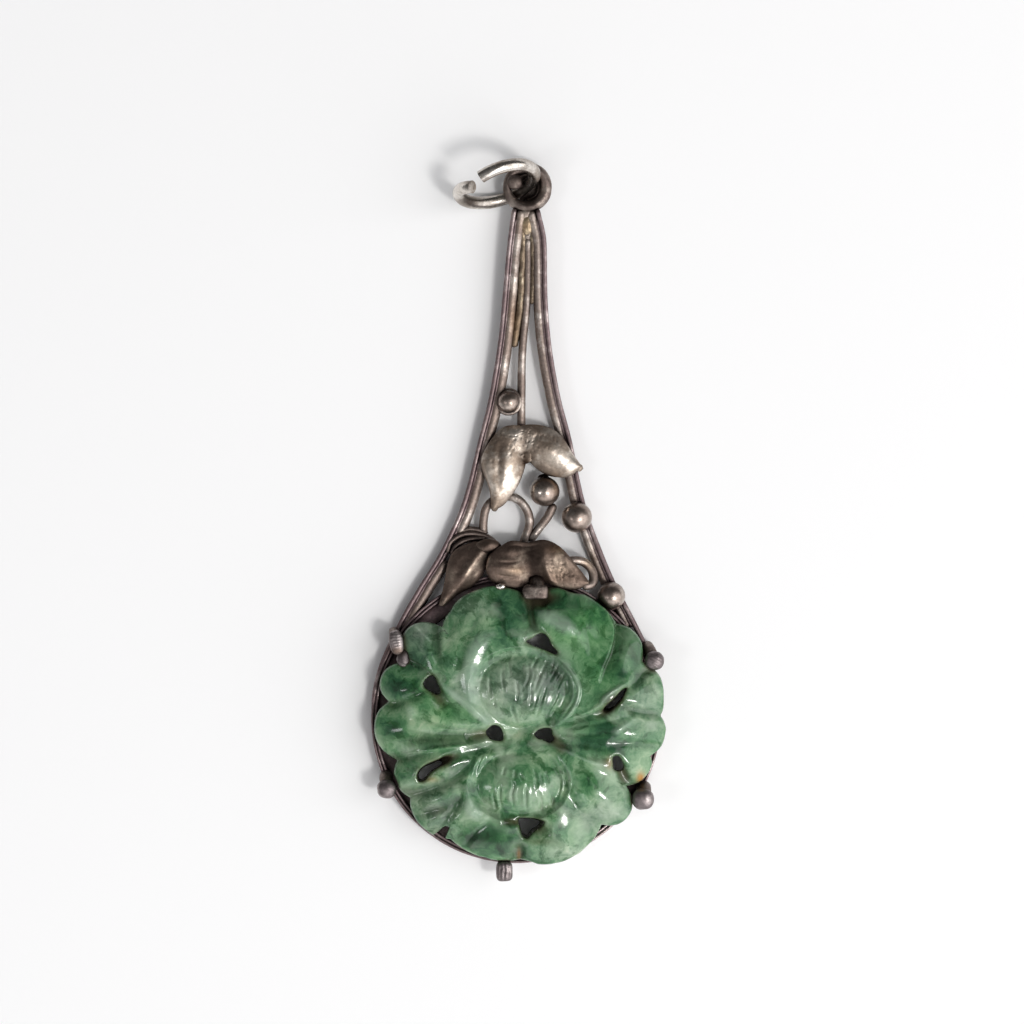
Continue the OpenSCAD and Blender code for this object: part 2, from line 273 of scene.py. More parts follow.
def roundedEnds(rows, radius, start=True, end=True, girth=None):
    # adds a row of girths, which close like a ball at the ends
    length = along(rows)
    total = length[-1]
    places = [length]
    ball = radius * (1 - np.cos(np.linspace(0, math.pi / 2, 6)))[1:-1]
    tiny = radius * 0.01
    if start:
        places.append(np.concatenate([[tiny], ball]))
    if end:
        places.append(total - np.concatenate([[tiny], ball]))
    places = np.unique(np.concatenate(places))
    made = np.stack([np.interp(places, length, rows[:, k]) for k in range(3)], 1)
    size = np.ones(len(places)) if girth is None else np.interp(places, length, girth)
    for near in ([places] if start else []) + ([total - places] if end else []):
        inside = near < radius
        size[inside] *= np.sqrt(np.maximum(0.0004, 1 - (1 - near[inside] / radius) ** 2))
    return np.column_stack([made, size])


# Geometry Nodes: wire swept along curves

def sweepTree(name, flat):
    # sweeps a flat strip, kept upright, or a round wire along curves, and dents it
    tree = bpy.data.node_groups.new(name, "GeometryNodeTree")
    face = tree.interface
    face.new_socket("Geometry", in_out="INPUT", socket_type="NodeSocketGeometry")
    for socket, kind, value in (
        ("Wide", "NodeSocketFloat", 0.001), ("High", "NodeSocketFloat", 0.001),
        ("Corner", "NodeSocketFloat", 0.0001), ("Sides", "NodeSocketInt", 14),
        ("Ring Spacing", "NodeSocketFloat", 0.0003), ("Dent Depth", "NodeSocketFloat", 0.00002),
        ("Dent Size", "NodeSocketFloat", 0.0015), ("Seed", "NodeSocketInt", 1),
        ("Finish", "NodeSocketMaterial", None),
    ):
        made = face.new_socket(socket, in_out="INPUT", socket_type=kind)
        if value is not None:
            made.default_value = value
    face.new_socket("Geometry", in_out="OUTPUT", socket_type="NodeSocketGeometry")
    given = addNode(tree, "NodeGroupInput").outputs
    path = addNode(tree, "GeometryNodeResampleCurve",
        {"mode": "LENGTH", "Curve": given["Geometry"], "Length": given["Ring Spacing"]}).outputs[0]
    path = addNode(tree, "GeometryNodeSetCurveNormal",
        {"mode": "Z_UP" if flat else "MINIMUM_TWIST", "Curve": path}).outputs[0]
    if flat:
        section = addNode(tree, "GeometryNodeCurvePrimitiveQuadrilateral",
            {"Width": given["Wide"], "Height": given["High"]}).outputs[0]
        section = addNode(tree, "GeometryNodeFilletCurve", {"mode": "POLY", "Count": 3,
            "Limit Radius": True, "Curve": section, "Radius": given["Corner"]}).outputs[0]
    else:
        section = addNode(tree, "GeometryNodeCurvePrimitiveCircle",
            {"Radius": 0.5, "Resolution": given["Sides"]}).outputs[0]
        size = addNode(tree, "ShaderNodeCombineXYZ",
            {"X": given["Wide"], "Y": given["High"], "Z": 1.0}).outputs[0]
        section = addNode(tree, "GeometryNodeTransform", {"Geometry": section, "Scale": size}).outputs[0]
    girth = addNode(tree, "GeometryNodeInputRadius").outputs[0]
    wire = addNode(tree, "GeometryNodeCurveToMesh",
        {"Curve": path, "Profile Curve": section, "Scale": girth, "Fill Caps": True}).outputs[0]
    wire = addNode(tree, "GeometryNodeMergeByDistance", {"Geometry": wire, "Distance": 0.000002}).outputs[0]
    finer = addMath(tree, "DIVIDE", 1.0, given["Dent Size"])
    waves = addNode(tree, "ShaderNodeTexNoise",
        {"noise_dimensions": "4D", "Detail": 2.0, "Scale": finer, "W": given["Seed"]}).outputs[0]
    depth = addMath(tree, "MULTIPLY", addMath(tree, "SUBTRACT", waves, 0.5), given["Dent Depth"])
    normal = addNode(tree, "GeometryNodeInputNormal").outputs[0]
    offset = addNode(tree, "ShaderNodeVectorMath",
        {"operation": "SCALE", 0: normal, "Scale": depth}).outputs[0]
    wire = addNode(tree, "GeometryNodeSetPosition", {"Geometry": wire, "Offset": offset}).outputs[0]
    wire = addNode(tree, "GeometryNodeSetShadeSmooth", {"Geometry": wire}).outputs[0]
    wire = addNode(tree, "GeometryNodeRealizeInstances", {"Geometry": wire}).outputs[0]
    wire = addNode(tree, "GeometryNodeSetMaterial",
        {"Geometry": wire, "Material": given["Finish"]}).outputs[0]
    addNode(tree, "NodeGroupOutput", {"Geometry": wire})
    return tree


def runTree(name, holder, tree, values):
    # sets the inputs by their identifiers, turns the result into a plain mesh
    modifier = holder.modifiers.new("make", "NODES")
    modifier.node_group = tree
    for item in tree.interface.items_tree:
        if item.item_type == "SOCKET" and item.in_out == "INPUT" and item.name in values:
            modifier[item.identifier] = values[item.name]
    holder.update_tag()
    bpy.context.view_layer.update()
    graph = bpy.context.evaluated_depsgraph_get()
    mesh = bpy.data.meshes.new_from_object(holder.evaluated_get(graph), depsgraph=graph)
    mesh.name = name
    holder.modifiers.remove(modifier)
    bpy.data.objects.remove(holder)
    return addObject(name, mesh)


def sweep(name, curves, finish, size, spacing, dents, seed, sides=14, corner=None, closed=False):
    # a wire, or with a corner radius a flat strip, along curves: rows of x, y, z and, where
    # the girth changes, the girth. size is its width and height, spacing the distance between
    # its rings, dents are their depth and size, all in mm
    values = {"Wide": size[0] * mm, "High": size[1] * mm, "Ring Spacing": spacing * mm,
        "Dent Depth": dents[0] * mm, "Dent Size": dents[1] * mm, "Seed": seed,
        "Finish": finishes[finish]}
    values |= {"Corner": corner * mm} if corner else {"Sides": sides}
    data = bpy.data.curves.new(name + "Path", "CURVE")
    data.dimensions = "3D"
    for rows in curves:
        line = data.splines.new("POLY")
        line.points.add(len(rows) - 1)
        line.use_cyclic_u = closed
        for point, row in zip(line.points, rows):
            point.co = (row[0] * mm, row[1] * mm, row[2] * mm, 1)
            point.radius = row[3] if len(row) > 3 else 1
    return runTree(name, addObject(name + "Path", data), flatStrip if corner else roundWire, values)


# lines, patches and holes below are read off the photograph, in its pixels
photo = {"pixelsPerMm": 9.5, "x0": 517.8, "y0": 519.3}
# places where the silver is darker from tarnish and painted shade, paler from wear and painted highlights,
# or yellowed: x, y, half width, half height, amount
silverMarks = {
    # tarnish, with painted shade on the tops of the balls, between the upper leaves and in the eye's hole
    "tarnishAndShade": [
        (532, 562, 12, 26, 0.75), (515, 548, 16, 9, 0.55), (462, 562, 16, 16, 0.35),
        (484, 545, 12, 8, 0.45), (497, 446, 9, 12, 0.40), (500, 470, 5, 24, 0.40), (527, 440, 9, 12, 0.30),
        (556, 438, 24, 8, 0.45), (533, 470, 14, 10, 0.60), (526, 205, 16, 12, 0.35),
        (528, 595, 16, 12, 0.45), (524, 450, 4, 18, 0.55), (445, 600, 12, 14, 0.40),
        (505, 165, 40, 4, 0.10), (508, 392, 14, 6, 0.35), (546, 478, 16, 7, 0.35), (576, 505, 16, 8, 0.35),
        (611, 585, 16, 8, 0.35), (405, 658, 8, 8, 0.50), (532, 290, 4, 60, 0.35), (471, 187, 4, 5, 0.90),
        (487, 203, 24, 5, 0.60), (512, 163, 9, 3, 0.60), (478, 172, 3, 5, 0.45), (527, 463, 5, 8, 0.50),
        (519, 190, 12, 12, 0.30), (532, 196, 12, 12, 0.45), (519, 250, 4, 60, 0.15),
    ],
    # wear, with painted highlights along the stem wires, on the leaves' lower slopes and at the jump ring's
    # left end
    "wearAndHighlight": [
        (489, 475, 4, 16, 0.70), (509, 482, 6, 20, 0.80), (519, 438, 8, 9, 0.35), (531, 440, 6, 8, 0.50),
        (557, 458, 16, 9, 0.70), (571, 464, 9, 6, 0.50), (515, 571, 9, 4, 0.45), (560, 586, 16, 4, 0.45),
        (501, 587, 5, 4, 0.90), (452, 575, 4, 8, 0.40), (399, 639, 8, 8, 0.60), (469, 577, 4, 10, 0.25),
        (590, 560, 4, 26, 0.45), (559, 400, 4, 50, 0.35), (539, 280, 3, 60, 0.20), (514, 270, 3, 70, 0.15),
        (484, 400, 3, 60, 0.25), (513, 214, 5, 7, 0.70), (533, 217, 4, 6, 0.50), (525, 222, 5, 8, 0.50),
        (530, 232, 4, 10, 0.45), (456, 190, 7, 9, 0.80), (501, 587, 6, 5, 0.60), (511, 208, 5, 8, 0.80),
        (558, 566, 13, 10, 0.45),
    ],
    "ochre": [
        (526, 226, 7, 9, 0.40), (514, 322, 5, 22, 0.55), (557, 548, 12, 6, 0.50), (516, 570, 10, 5, 0.35),
        (588, 562, 8, 16, 0.40), (556, 486, 4, 10, 0.50), (398, 650, 9, 4, 0.50), (560, 575, 16, 12, 0.20),
        (513, 460, 60, 60, 0.06),
    ],
}


def fromPhoto(points):
    points = np.array(points, float)
    return np.stack([points[:, 0] - photo["x0"], photo["y0"] - points[:, 1]], 1) / photo["pixelsPerMm"]


def patchSum(xy, rows):
    total = np.zeros(len(xy))
    for px, py, wide, high, amount in rows:
        centre = fromPhoto([(px, py)])[0]
        size = np.array([wide, high]) / photo["pixelsPerMm"]
        total += amount * np.exp(-(((xy - centre) / size) ** 2).sum(1))
    return total


def setMarks(mesh, tables):
    # the tables' patches become attributes that the finishes read
    place = np.empty(len(mesh.vertices) * 3)
    mesh.vertices.foreach_get("co", place)
    xy = place.reshape(-1, 3)[:, :2] / mm
    for key, rows in tables.items():
        mesh.attributes.new(key, "FLOAT", "POINT").data.foreach_set("value", patchSum(xy, rows))


def finishPiece(piece, node="silver_mount"):
    if node != "jade_flower":
        setMarks(piece.data, silverMarks)
    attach(piece, "root")
    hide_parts(node)


# silver finishes

def silverFinish(name, dark, middle, worn, wornShare, roughness, patch=2.5, scratch=0.5):
    # sterling silver, tarnished brown in the corners and rubbed bright on the high places, with painted
    # shade and painted highlights from the marks
    material = bpy.data.materials.new(name)
    material.use_nodes = True
    tree = material.node_tree
    tree.nodes["Principled BSDF"].inputs["Metallic"].default_value = 1.0
    place = addNode(tree, "ShaderNodeTexCoord").outputs["Object"]
    marks = readMarks(tree, silverMarks)
    exposed = addRange(tree, cornerShade(tree, 0.7), 0.30, 0.90)
    # the tarnish marks, partly painted shade, darken the silver
    exposed = addMath(tree, "SUBTRACT", exposed, marks["tarnishAndShade"], clamp=True)
    patches = addNoise(tree, place, patch, 5.0, 0.62)
    wearAndHighlight = addRange(tree, patches, 0.62 - 0.3 * wornShare, 0.80 - 0.3 * wornShare)
    # the wear marks also add painted highlights
    wearAndHighlight = addMath(tree, "ADD", wearAndHighlight, marks["wearAndHighlight"])
    wearAndHighlight = addMath(tree, "MULTIPLY", wearAndHighlight, exposed, clamp=True)
    specks = addRange(tree, addNoise(tree, place, 0.28, 3.0, 0.6), 0.32, 0.66)
    base = addMix(tree, exposed, dark, middle)
    base = addMix(tree, wearAndHighlight, base, worn)
    base = addMix(tree, 0.55, base, addRamp(tree, specks, [(0, 0.45), (1, 1.0)]), "MULTIPLY")
    base = addMix(tree, marks["ochre"], base, "#c9a05c", "MULTIPLY")
    rough = addRange(tree, wearAndHighlight, 0.0, 1.0, roughness + 0.16, roughness)
    setShader(tree, base, rough, addNoise(tree, place, 0.22, 3.0, 0.6), scratch, 0.035)
    return material


finishes = {
    # drawn wire, tarnished grey brown, rubbed along its top, with painted highlights there from the marks
    "wireSilver": silverFinish("wireSilver", "#2e2623", "#96877f", "#d6ccc4", 0.45, 0.38, scratch=0.9),
    # eye and small wires that stayed brown
    "darkWireSilver": silverFinish("darkWireSilver", "#261d1a", "#7d706a", "#c6bab0", 0.38, 0.32,
        scratch=0.9),
    # thin outer strip, darker with a reddish tarnish
    "stripSilver": silverFinish("stripSilver", "#2c2122", "#857475", "#beb0ae", 0.3, 0.33, scratch=0.6),
    # claws, duller and bluish from handling
    "clawSilver": silverFinish("clawSilver", "#2a2627", "#857c7c", "#bfb6b4", 0.30, 0.33, scratch=0.30),
    # leaves rubbed pale by wear, with painted highlights on their lower slopes from the marks
    "paleLeafSilver": silverFinish("paleLeafSilver", "#493b32", "#a09082", "#dfd5ca", 0.5, 0.41,
        scratch=0.45),
    # leaves beside the stone, where the tarnish stays
    "darkLeafSilver": silverFinish("darkLeafSilver", "#201816", "#7d6c62", "#b8a999", 0.25, 0.36,
        scratch=0.40),
    # balls melted from scrap, smooth, with painted shade on their tops from the marks
    "ballSilver": silverFinish("ballSilver", "#322825", "#a5968d", "#ddd3ca", 0.5, 0.19, scratch=0.10),
    # newer ring of bright polished wire
    "brightSilver": silverFinish("brightSilver", "#3d3029", "#a99e93", "#e9e2da", 0.7, 0.18, scratch=0.20),
    # solder, greyer in the grooves and yellow where it was cooled slowly
    "solderSilver": silverFinish("solderSilver", "#30271f", "#887867", "#d0c1a8", 0.4, 0.34, patch=1.2,
        scratch=0.8),
}
roundWire = sweepTree("roundWire", flat=False)
flatStrip = sweepTree("flatStrip", flat=True)
makeRoom()


def ballMesh(name, centre, radii, finish, detail=5, dent=0.03, seed=1, square=2, turn=0, file=None):
    # ball of silver with soft dents; a higher square makes it a rounded block,
    # and file is the spacing, depth and direction in degrees of its file marks
    mesh = bpy.data.meshes.new(name)
    shape = bmesh.new()
    bmesh.ops.create_icosphere(shape, subdivisions=detail, radius=1)
    shape.to_mesh(mesh)
    shape.free()
    co = np.array([v.co for v in mesh.vertices])
    phases = np.random.default_rng(seed).uniform(0, 6.28, (6, 4))
    bumps = sum(np.sin(co @ (phases[i, :3] * 1.2) + phases[i, 3]) for i in range(6)) / 6
    away = (np.abs(co) ** square).sum(1) ** (-1 / square)
    co = co * (away * (1 + dent * bumps))[:, None] * radii
    if file:
        spacing, depth, direction = file
        across = co[:, 0] * math.cos(math.radians(direction)) + co[:, 1] * math.sin(math.radians(direction))
        co[:, 2] -= depth * (0.5 + 0.5 * np.cos(across * 2 * math.pi / spacing + bumps)) * (co[:, 2] > 0)
    slew = np.array(Matrix.Rotation(math.radians(turn), 3, "Z"))
    mesh.vertices.foreach_set("co", ((co @ slew.T + centre) * mm).ravel())
    mesh.shade_smooth()
    mesh.materials.append(finishes[finish])
    return addObject(name, mesh)


# frame: edge strips, side wires, centre wire

edgeStrips = {
    "width": 0.5, "height": 1.48,
    "left": [(-0.50, 32.85), (-0.72, 31.8), (-1.20, 28.0), (-1.72, 22.0), (-2.20, 17.8), (-3.08, 12.6),
        (-4.14, 8.4), (-5.77, 2.0), (-8.08, -3.2), (-10.40, -7.0), (-12.45, -10.6), (-14.30, -14.6),
        (-15.24, -18.0), (-15.37, -20.9)],
    "right": [(2.26, 32.80), (2.50, 31.8), (3.02, 29.0), (3.13, 23.1), (3.60, 17.8), (4.55, 12.6),
        (5.65, 8.4), (7.02, 2.0), (8.44, -2.2), (10.18, -6.4), (12.34, -10.6), (13.75, -13.6),
        (14.80, -17.4), (15.07, -20.9)],
}
sideWires = {
    "width": 1.21, "joined": 0.13,
    "leftEnd": -2.0, "leftAgain": -3.4, "leftLast": -11.7, "rightLast": -11.4,
}
centreWire = {
    "width": 0.86,
    "path": [(1.05, 29.6), (1.00, 24.0), (0.50, 17.8), (0.39, 14.0), (0.39, 8.0)],
}
# solder that fills the seam between each strip and its wire
seamSolder = {"inset": 0.58, "width": 0.70, "height": 1.04}
stemSolder = {
    # path, width, height
    "left": ([(0.50, 32.0), (0.48, 27.0), (0.28, 22.8), (-0.20, 19.6), (-0.40, 18.1)], 0.9, 0.75),
    "right": ([(1.45, 32.0), (1.60, 27.0), (1.50, 22.6)], 0.7, 0.75),
}
# lumps of solder: x, y, height above the wires' middle, half sizes along x, y, z, finish
solderLumps = {
    "neckSolder": (0.92, 32.15, 0.02, 1.00, 0.75, 0.52, "wireSilver"),
    "crownSolder": (0.96, 31.10, 0.02, 0.95, 1.35, 0.52, "solderSilver"),
    "stemFillSolder": (1.04, 29.90, -0.12, 0.95, 1.40, 0.42, "darkWireSilver"),
    "leftTopClawNose": (-12.00, -14.55, 2.85, 0.68, 0.90, 0.50, "clawSilver"),
    "leafEdgeDrop": (-1.77, -6.98, 2.95, 0.52, 0.30, 0.30, "brightSilver"),
    "rightLeafTip": (6.38, 5.45, 0.92, 0.48, 0.40, 0.36, "paleLeafSilver"),
    "leftLeafTip": (-2.42, 1.45, 1.15, 0.42, 0.60, 0.32, "paleLeafSilver"),
}


def makeFrame():
    leftEdge = onFrame(edgeStrips["left"])
    rightEdge = onFrame(edgeStrips["right"])
    half = edgeStrips["width"] / 2
    lines = [roundedEnds(beside(leftEdge, half), 0.5, end=False),
        roundedEnds(beside(rightEdge, -half), 0.5, end=False)]
    finishPiece(sweep("edgeStrips", lines, "stripSilver", (edgeStrips["width"], edgeStrips["height"]),
        spacing=0.3, dents=(0.10, 4.0), seed=3, corner=0.18))

    seams = []
    for rows, side in ((between(leftEdge, 32, sideWires["leftLast"]), 1),
        (between(rightEdge, 32, sideWires["rightLast"]), -1)):
        seams.append(roundedEnds(beside(rows, side * seamSolder["inset"]), 0.3))
    finishPiece(sweep("seamSolder", seams, "stripSilver", (seamSolder["width"], seamSolder["height"]),
        spacing=0.2, dents=(0.14, 0.8), seed=9))
    width = sideWires["width"]
    inset = edgeStrips["width"] + width / 2 - sideWires["joined"]
    right = beside(between(rightEdge, 33, sideWires["rightLast"]), -inset)
    lines = [
        roundedEnds(beside(between(leftEdge, 33, sideWires["leftEnd"]), inset), width / 2),
        roundedEnds(beside(between(leftEdge, sideWires["leftAgain"], sideWires["leftLast"]), inset),
            width / 2),
        roundedEnds(right, width / 2, girth=np.linspace(1, 0.8, len(right))),
    ]
    finishPiece(sweep("sideWires", lines, "wireSilver", (width, width), spacing=0.22,
        dents=(0.12, 3.6), seed=5, sides=18))

    width = centreWire["width"]
    finishPiece(sweep("centreWire", [roundedEnds(onFrame(centreWire["path"]), width / 2)], "wireSilver",
        (width, width), spacing=0.18, dents=(0.10, 2.6), seed=7, sides=16))

    for name, (path, wide, high) in stemSolder.items():
        finishPiece(sweep(name + "Solder", [roundedEnds(onFrame(path), wide / 2)], "solderSilver",
            (wide, high), spacing=0.15, dents=(0.26, 0.7), seed=11))
    for name, (x, y, rise, *sizes, finish) in solderLumps.items():
        finishPiece(ballMesh(name, (x, y, levelAt(y) + rise), sizes, finish, dent=0.10, seed=len(name)))
    print("frame wires done")


makeFrame()


# eye, setting ring, jump ring

# the first turn is thinner toward one direction, in degrees
eyeRing = {"radius": 2.05, "wire": 1.24, "points": 96, "thinSide": 170, "thinner": 0.34}
# the wire's second turn, lower and inside the first, where the jump ring leaves room
eyeInnerTurn = {"radius": 1.36, "height": 1.28, "wire": 0.66, "tall": 1.1, "from": -98, "to": 160,
    "points": 80}
eyeCoilEnd = {"centre": (-0.30, 35.42, 2.38), "halfSizes": (0.86, 0.82, 0.52)}
# plate under the eye, put there as painted shade to darken its hole
eyeBack = {"radius": 1.72, "top": 0.80, "thickness": 0.30, "from": -104, "to": 168, "points": 48}
settingRing = {
    "centre": (-0.17, -20.85), "outer": 15.21, "points": 360,
    "lift": 0.03,    # keeps the strips out of the table's plane
    # strip: middle radius inside the outer one, width, height
    # the last one is the ledge at its foot
    "strips": [(0.14, 0.28, 1.75), (0.33, 0.24, 1.58), (0.49, 0.28, 1.70), (1.40, 1.75, 0.36)],
}
jumpRing = {
    "centre": (-2.20, 35.13), "radius": 4.08, "wire": 1.1, "lean": 67.2, "roll": 6.3, "turn": 13.0,
    "first": -218, "open": 27, "points": 160,
    "thicker": 0.23, "thinAt": (0.70, 34.90, 1.60), "thinOver": 2.2,    # where it passes the eye
    # the ends were bent by hand: share of the ring, sideways and upward in the picture
    "lowEnd": (0.14, 0.55, -0.80), "highEnd": (0.26, 0.0, -0.62),
}


def arcRows(centre, radius, z, turn):
    x, y = centre
    return np.stack([x + radius * np.cos(turn), y + radius * np.sin(turn), np.full(len(turn), z)], 1)


def circleRows(centre, radius, z, count):
    return arcRows(centre, radius, z, np.linspace(0, 2 * math.pi, count, endpoint=False))


def makeRings():
    z = frameShape["wireMiddle"] + frameShape["stemRise"]
    rows = circleRows(frameShape["eyeCentre"], eyeRing["radius"], z, eyeRing["points"])
    around = np.linspace(0, 2 * math.pi, eyeRing["points"], endpoint=False)
    around -= math.radians(eyeRing["thinSide"])
    girth = 1 - eyeRing["thinner"] * np.exp(-(np.angle(np.exp(1j * around)) / 1.0) ** 2)
    finishPiece(sweep("eyeRing", [np.column_stack([rows, girth])], "darkWireSilver",
        (eyeRing["wire"], eyeRing["wire"]), spacing=0.14, dents=(0.16, 1.6), seed=13, sides=22,
        closed=True))
    second = eyeInnerTurn
    turn = np.radians(np.linspace(second["from"], second["to"], second["points"]))
    arc = arcRows(frameShape["eyeCentre"], second["radius"], second["height"], turn)
    finishPiece(sweep("eyeInnerTurn", [roundedEnds(arc, second["wire"] / 2)], "wireSilver",
        (second["wire"], second["tall"]), spacing=0.12, dents=(0.10, 1.2), seed=15, sides=16))
    # flattened end of the coil, and a plate under the jump ring that stands in for the shade in the eye's
    # hole
    finishPiece(ballMesh("eyeCoilEnd", eyeCoilEnd["centre"], eyeCoilEnd["halfSizes"], "darkWireSilver",
        dent=0.05, seed=6))
    count = eyeBack["points"]
    turn = np.radians(np.linspace(eyeBack["from"], eyeBack["to"], count))
    plate = [arcRows(frameShape["eyeCentre"], eyeBack["radius"], z, turn)
        for z in (eyeBack["top"], eyeBack["top"] - eyeBack["thickness"])]
    sides = [(i, i + count, (i + 1) % count + count, (i + 1) % count) for i in range(count)]
    lids = [tuple(range(count)), tuple(range(2 * count - 1, count - 1, -1))]
    back = meshPiece("eyeBack", np.concatenate(plate) * mm, lids + sides, smooth=False)
    back.data.materials.append(finishes["wireSilver"])
    finishPiece(back)

    for index, (inside, wide, high) in enumerate(settingRing["strips"]):
        rows = circleRows(settingRing["centre"], settingRing["outer"] - inside,
            high / 2 + settingRing["lift"], settingRing["points"])
        finishPiece(sweep(f"settingStrip{index + 1}", [rows], "stripSilver", (wide, high),
            spacing=0.3, dents=(0.06, 2.0), seed=17 + index, corner=0.1, closed=True))

    ring = jumpRing
    lean, roll, turn = (math.radians(ring[k]) for k in ("lean", "roll", "turn"))
    leaning = Matrix.Rotation(roll, 3, "Y") @ Matrix.Rotation(lean, 3, "X")
    tilt = np.array(Matrix.Rotation(turn, 3, "Z") @ leaning)
    angles = np.radians(np.linspace(ring["first"], ring["first"] + 360 - ring["open"], ring["points"]))
    flatRows = arcRows((0, 0), ring["radius"], 0, angles)
    lowest = ring["radius"] * math.hypot(math.sin(roll), math.cos(roll) * math.sin(lean))
    rows = flatRows @ tilt.T + [*ring["centre"], lowest + ring["wire"] / 2]
    share = np.linspace(0, 1, ring["points"])
    for (length, *bent), far in ((ring["lowEnd"], share), (ring["highEnd"], 1 - share)):
        rows[:, :2] += np.outer(np.clip(1 - far / length, 0, 1) ** 2, bent)
    away = ((rows - ring["thinAt"]) ** 2).sum(1) / ring["thinOver"] ** 2
    girth = 1 + ring["thicker"] * (1 - np.exp(-away))
    rows[:, 2] += (girth - 1) * ring["wire"] / 2
    bright = sweep("jumpRing", [np.column_stack([rows, girth])], "brightSilver",
        (ring["wire"], ring["wire"]), spacing=0.14, dents=(0.05, 1.4), seed=23, sides=24)
    finishPiece(bright, "jump_ring")
    print("rings done")


makeRings()


# balls, claws, tendrils

balls = {
    # x, y, radius, height of the middle above the wires' middle
    "rows": [(-0.95, 12.36, 1.20, 0.70), (2.83, 2.97, 1.56, 0.75), (6.19, 0.24, 1.61, 0.85),
        (9.81, -8.01, 1.47, 1.10)],
    "cupWire": 0.5, "cupRise": 0.25, "cupPoints": 64,
}
claws = {
    # name: foot x, y, tip x, y, tip height, tip radius, then the bead on it:
    # x, y, half sizes, squareness, turn, file marks
    "rightTop": ((13.65, -13.50), (14.30, -14.75), 3.7, 1.00, (14.30, -14.75), (1.00, 1.00, 0.80), 2.2, 0,
        (0.32, 0.03, 60)),
    "rightLow": ((13.20, -28.20), (13.10, -29.25), 3.5, 1.15, (13.10, -29.25), (1.15, 1.10, 0.85), 2.3, 0,
        None),
    "bottom": ((-1.45, -35.80), (-1.40, -36.90), 3.4, 0.95, (-1.40, -36.80), (0.86, 1.05, 0.75), 3.6, 0,
        (0.42, 0.05, 0)),
    "leftLow": ((-13.80, -27.00), (-13.73, -28.20), 3.5, 1.00, (-13.73, -28.20), (1.02, 0.98, 0.85), 2.2, 0,
        None),
    "leftTop": ((-13.00, -11.90), (-12.70, -13.35), 3.9, 0.75, (-12.68, -12.85), (0.76, 1.30, 0.55), 2.6,
        10, (0.30, 0.028, 90)),
    "top": ((2.00, -6.20), (2.02, -7.60), 4.1, 1.15, (1.85, -7.55), (1.32, 0.78, 0.55), 4.0, 0, None),
}
tendrils = {
    "width": 0.92,
    "arch": [(-3.6, -1.6, 0.0), (-3.6, -0.2, 0.2), (-3.3, 1.2, 0.4), (-2.4, 2.1, 0.4), (-1.0, 2.45, 0.4),
        (0.25, 1.95, 0.4), (1.05, 0.8, 0.35), (1.25, -0.5, 0.2), (0.75, -2.0, 0.1), (0.55, -2.8, 0.0)],
    "berryStalk": [(3.85, 1.7, 0.4), (3.2, 0.35, 0.25), (2.3, -0.85, 0.1), (1.2, -2.3, 0.0)],
    "leftCurl": [(-1.9, -2.9, 0.1), (-3.4, -1.75, 0.3), (-5.5, -1.5, 0.4), (-7.0, -2.3, 0.4),
        (-7.4, -3.6, 0.3)],
    "leftCurlUpper": [(-3.1, -1.4, 0.1), (-5.0, -1.0, 0.1), (-6.6, -1.5, 0.1)],
    "leftCurlInner": [(-3.3, -1.95, 0.5), (-5.3, -2.1, 0.5), (-6.5, -2.8, 0.5), (-6.95, -3.8, 0.4)],
    "rightCurl": [(5.2, -4.3, 2.0), (6.8, -4.4, 1.6), (7.8, -5.4, 1.5), (7.8, -6.7, 1.8), (6.7, -7.0, 2.3)],
}


def makeOrnament():
    for index, (x, y, radius, rise) in enumerate(balls["rows"]):
        finishPiece(ballMesh(f"ball{index + 1}", (x, y, levelAt(y) + rise), (radius, radius, radius),
            "ballSilver", dent=0.012, seed=40 + index))
    x, y, radius, rise = balls["rows"][0]
    path = circleRows((x, y), radius, levelAt(y) + balls["cupRise"], balls["cupPoints"])
    finishPiece(sweep("ballCup", [path], "wireSilver", (balls["cupWire"], balls["cupWire"]),
        spacing=0.12, dents=(0.06, 0.8), seed=29, sides=12, closed=True))

    for name, (foot, tip, high, radius, middle, sizes, square, turn, file) in claws.items():
        foot, tip = np.array(foot), np.array(tip)
        # up the outside of the ring, bulging a little, and in over the stone
        rows = smoothRows([(*foot, 0.3), (*(foot + (foot - tip) * 0.15), 1.6),
            (*(foot * 0.75 + tip * 0.25), high - 0.9), (*tip, high - 0.1)], 8)
        girth = np.interp(np.linspace(0, 1, len(rows)), [0, 0.6, 1], [0.95, 1.1, 1.0])
        finishPiece(sweep(name + "ClawPost", [np.column_stack([rows, girth])], "darkWireSilver",
            (1.3 * radius, 1.1 * radius), spacing=0.15, dents=(0.10, 0.9), seed=31, sides=16))
        finish = "darkWireSilver" if name == "top" else "clawSilver"
        finishPiece(ballMesh(name + "Claw", (*middle, high), sizes, finish, dent=0.06,
            seed=60 + len(name), square=square, turn=turn, file=file))

    for name, keys, share, finish in (
        ("tendrils", ("arch", "berryStalk", "rightCurl"), 1.0, "wireSilver"),
        ("curls", ("leftCurl", "leftCurlUpper", "leftCurlInner"), 0.72, "darkWireSilver"),
    ):
        width = tendrils["width"]
        lines = [roundedEnds(onFrame(tendrils[k], 10), width / 2) for k in keys]
        finishPiece(sweep(name, lines, finish, (width * share, width), spacing=0.16,
            dents=(0.10, 1.6), seed=37, sides=16))
    print("balls, claws and tendrils done")


makeOrnament()


# leaves

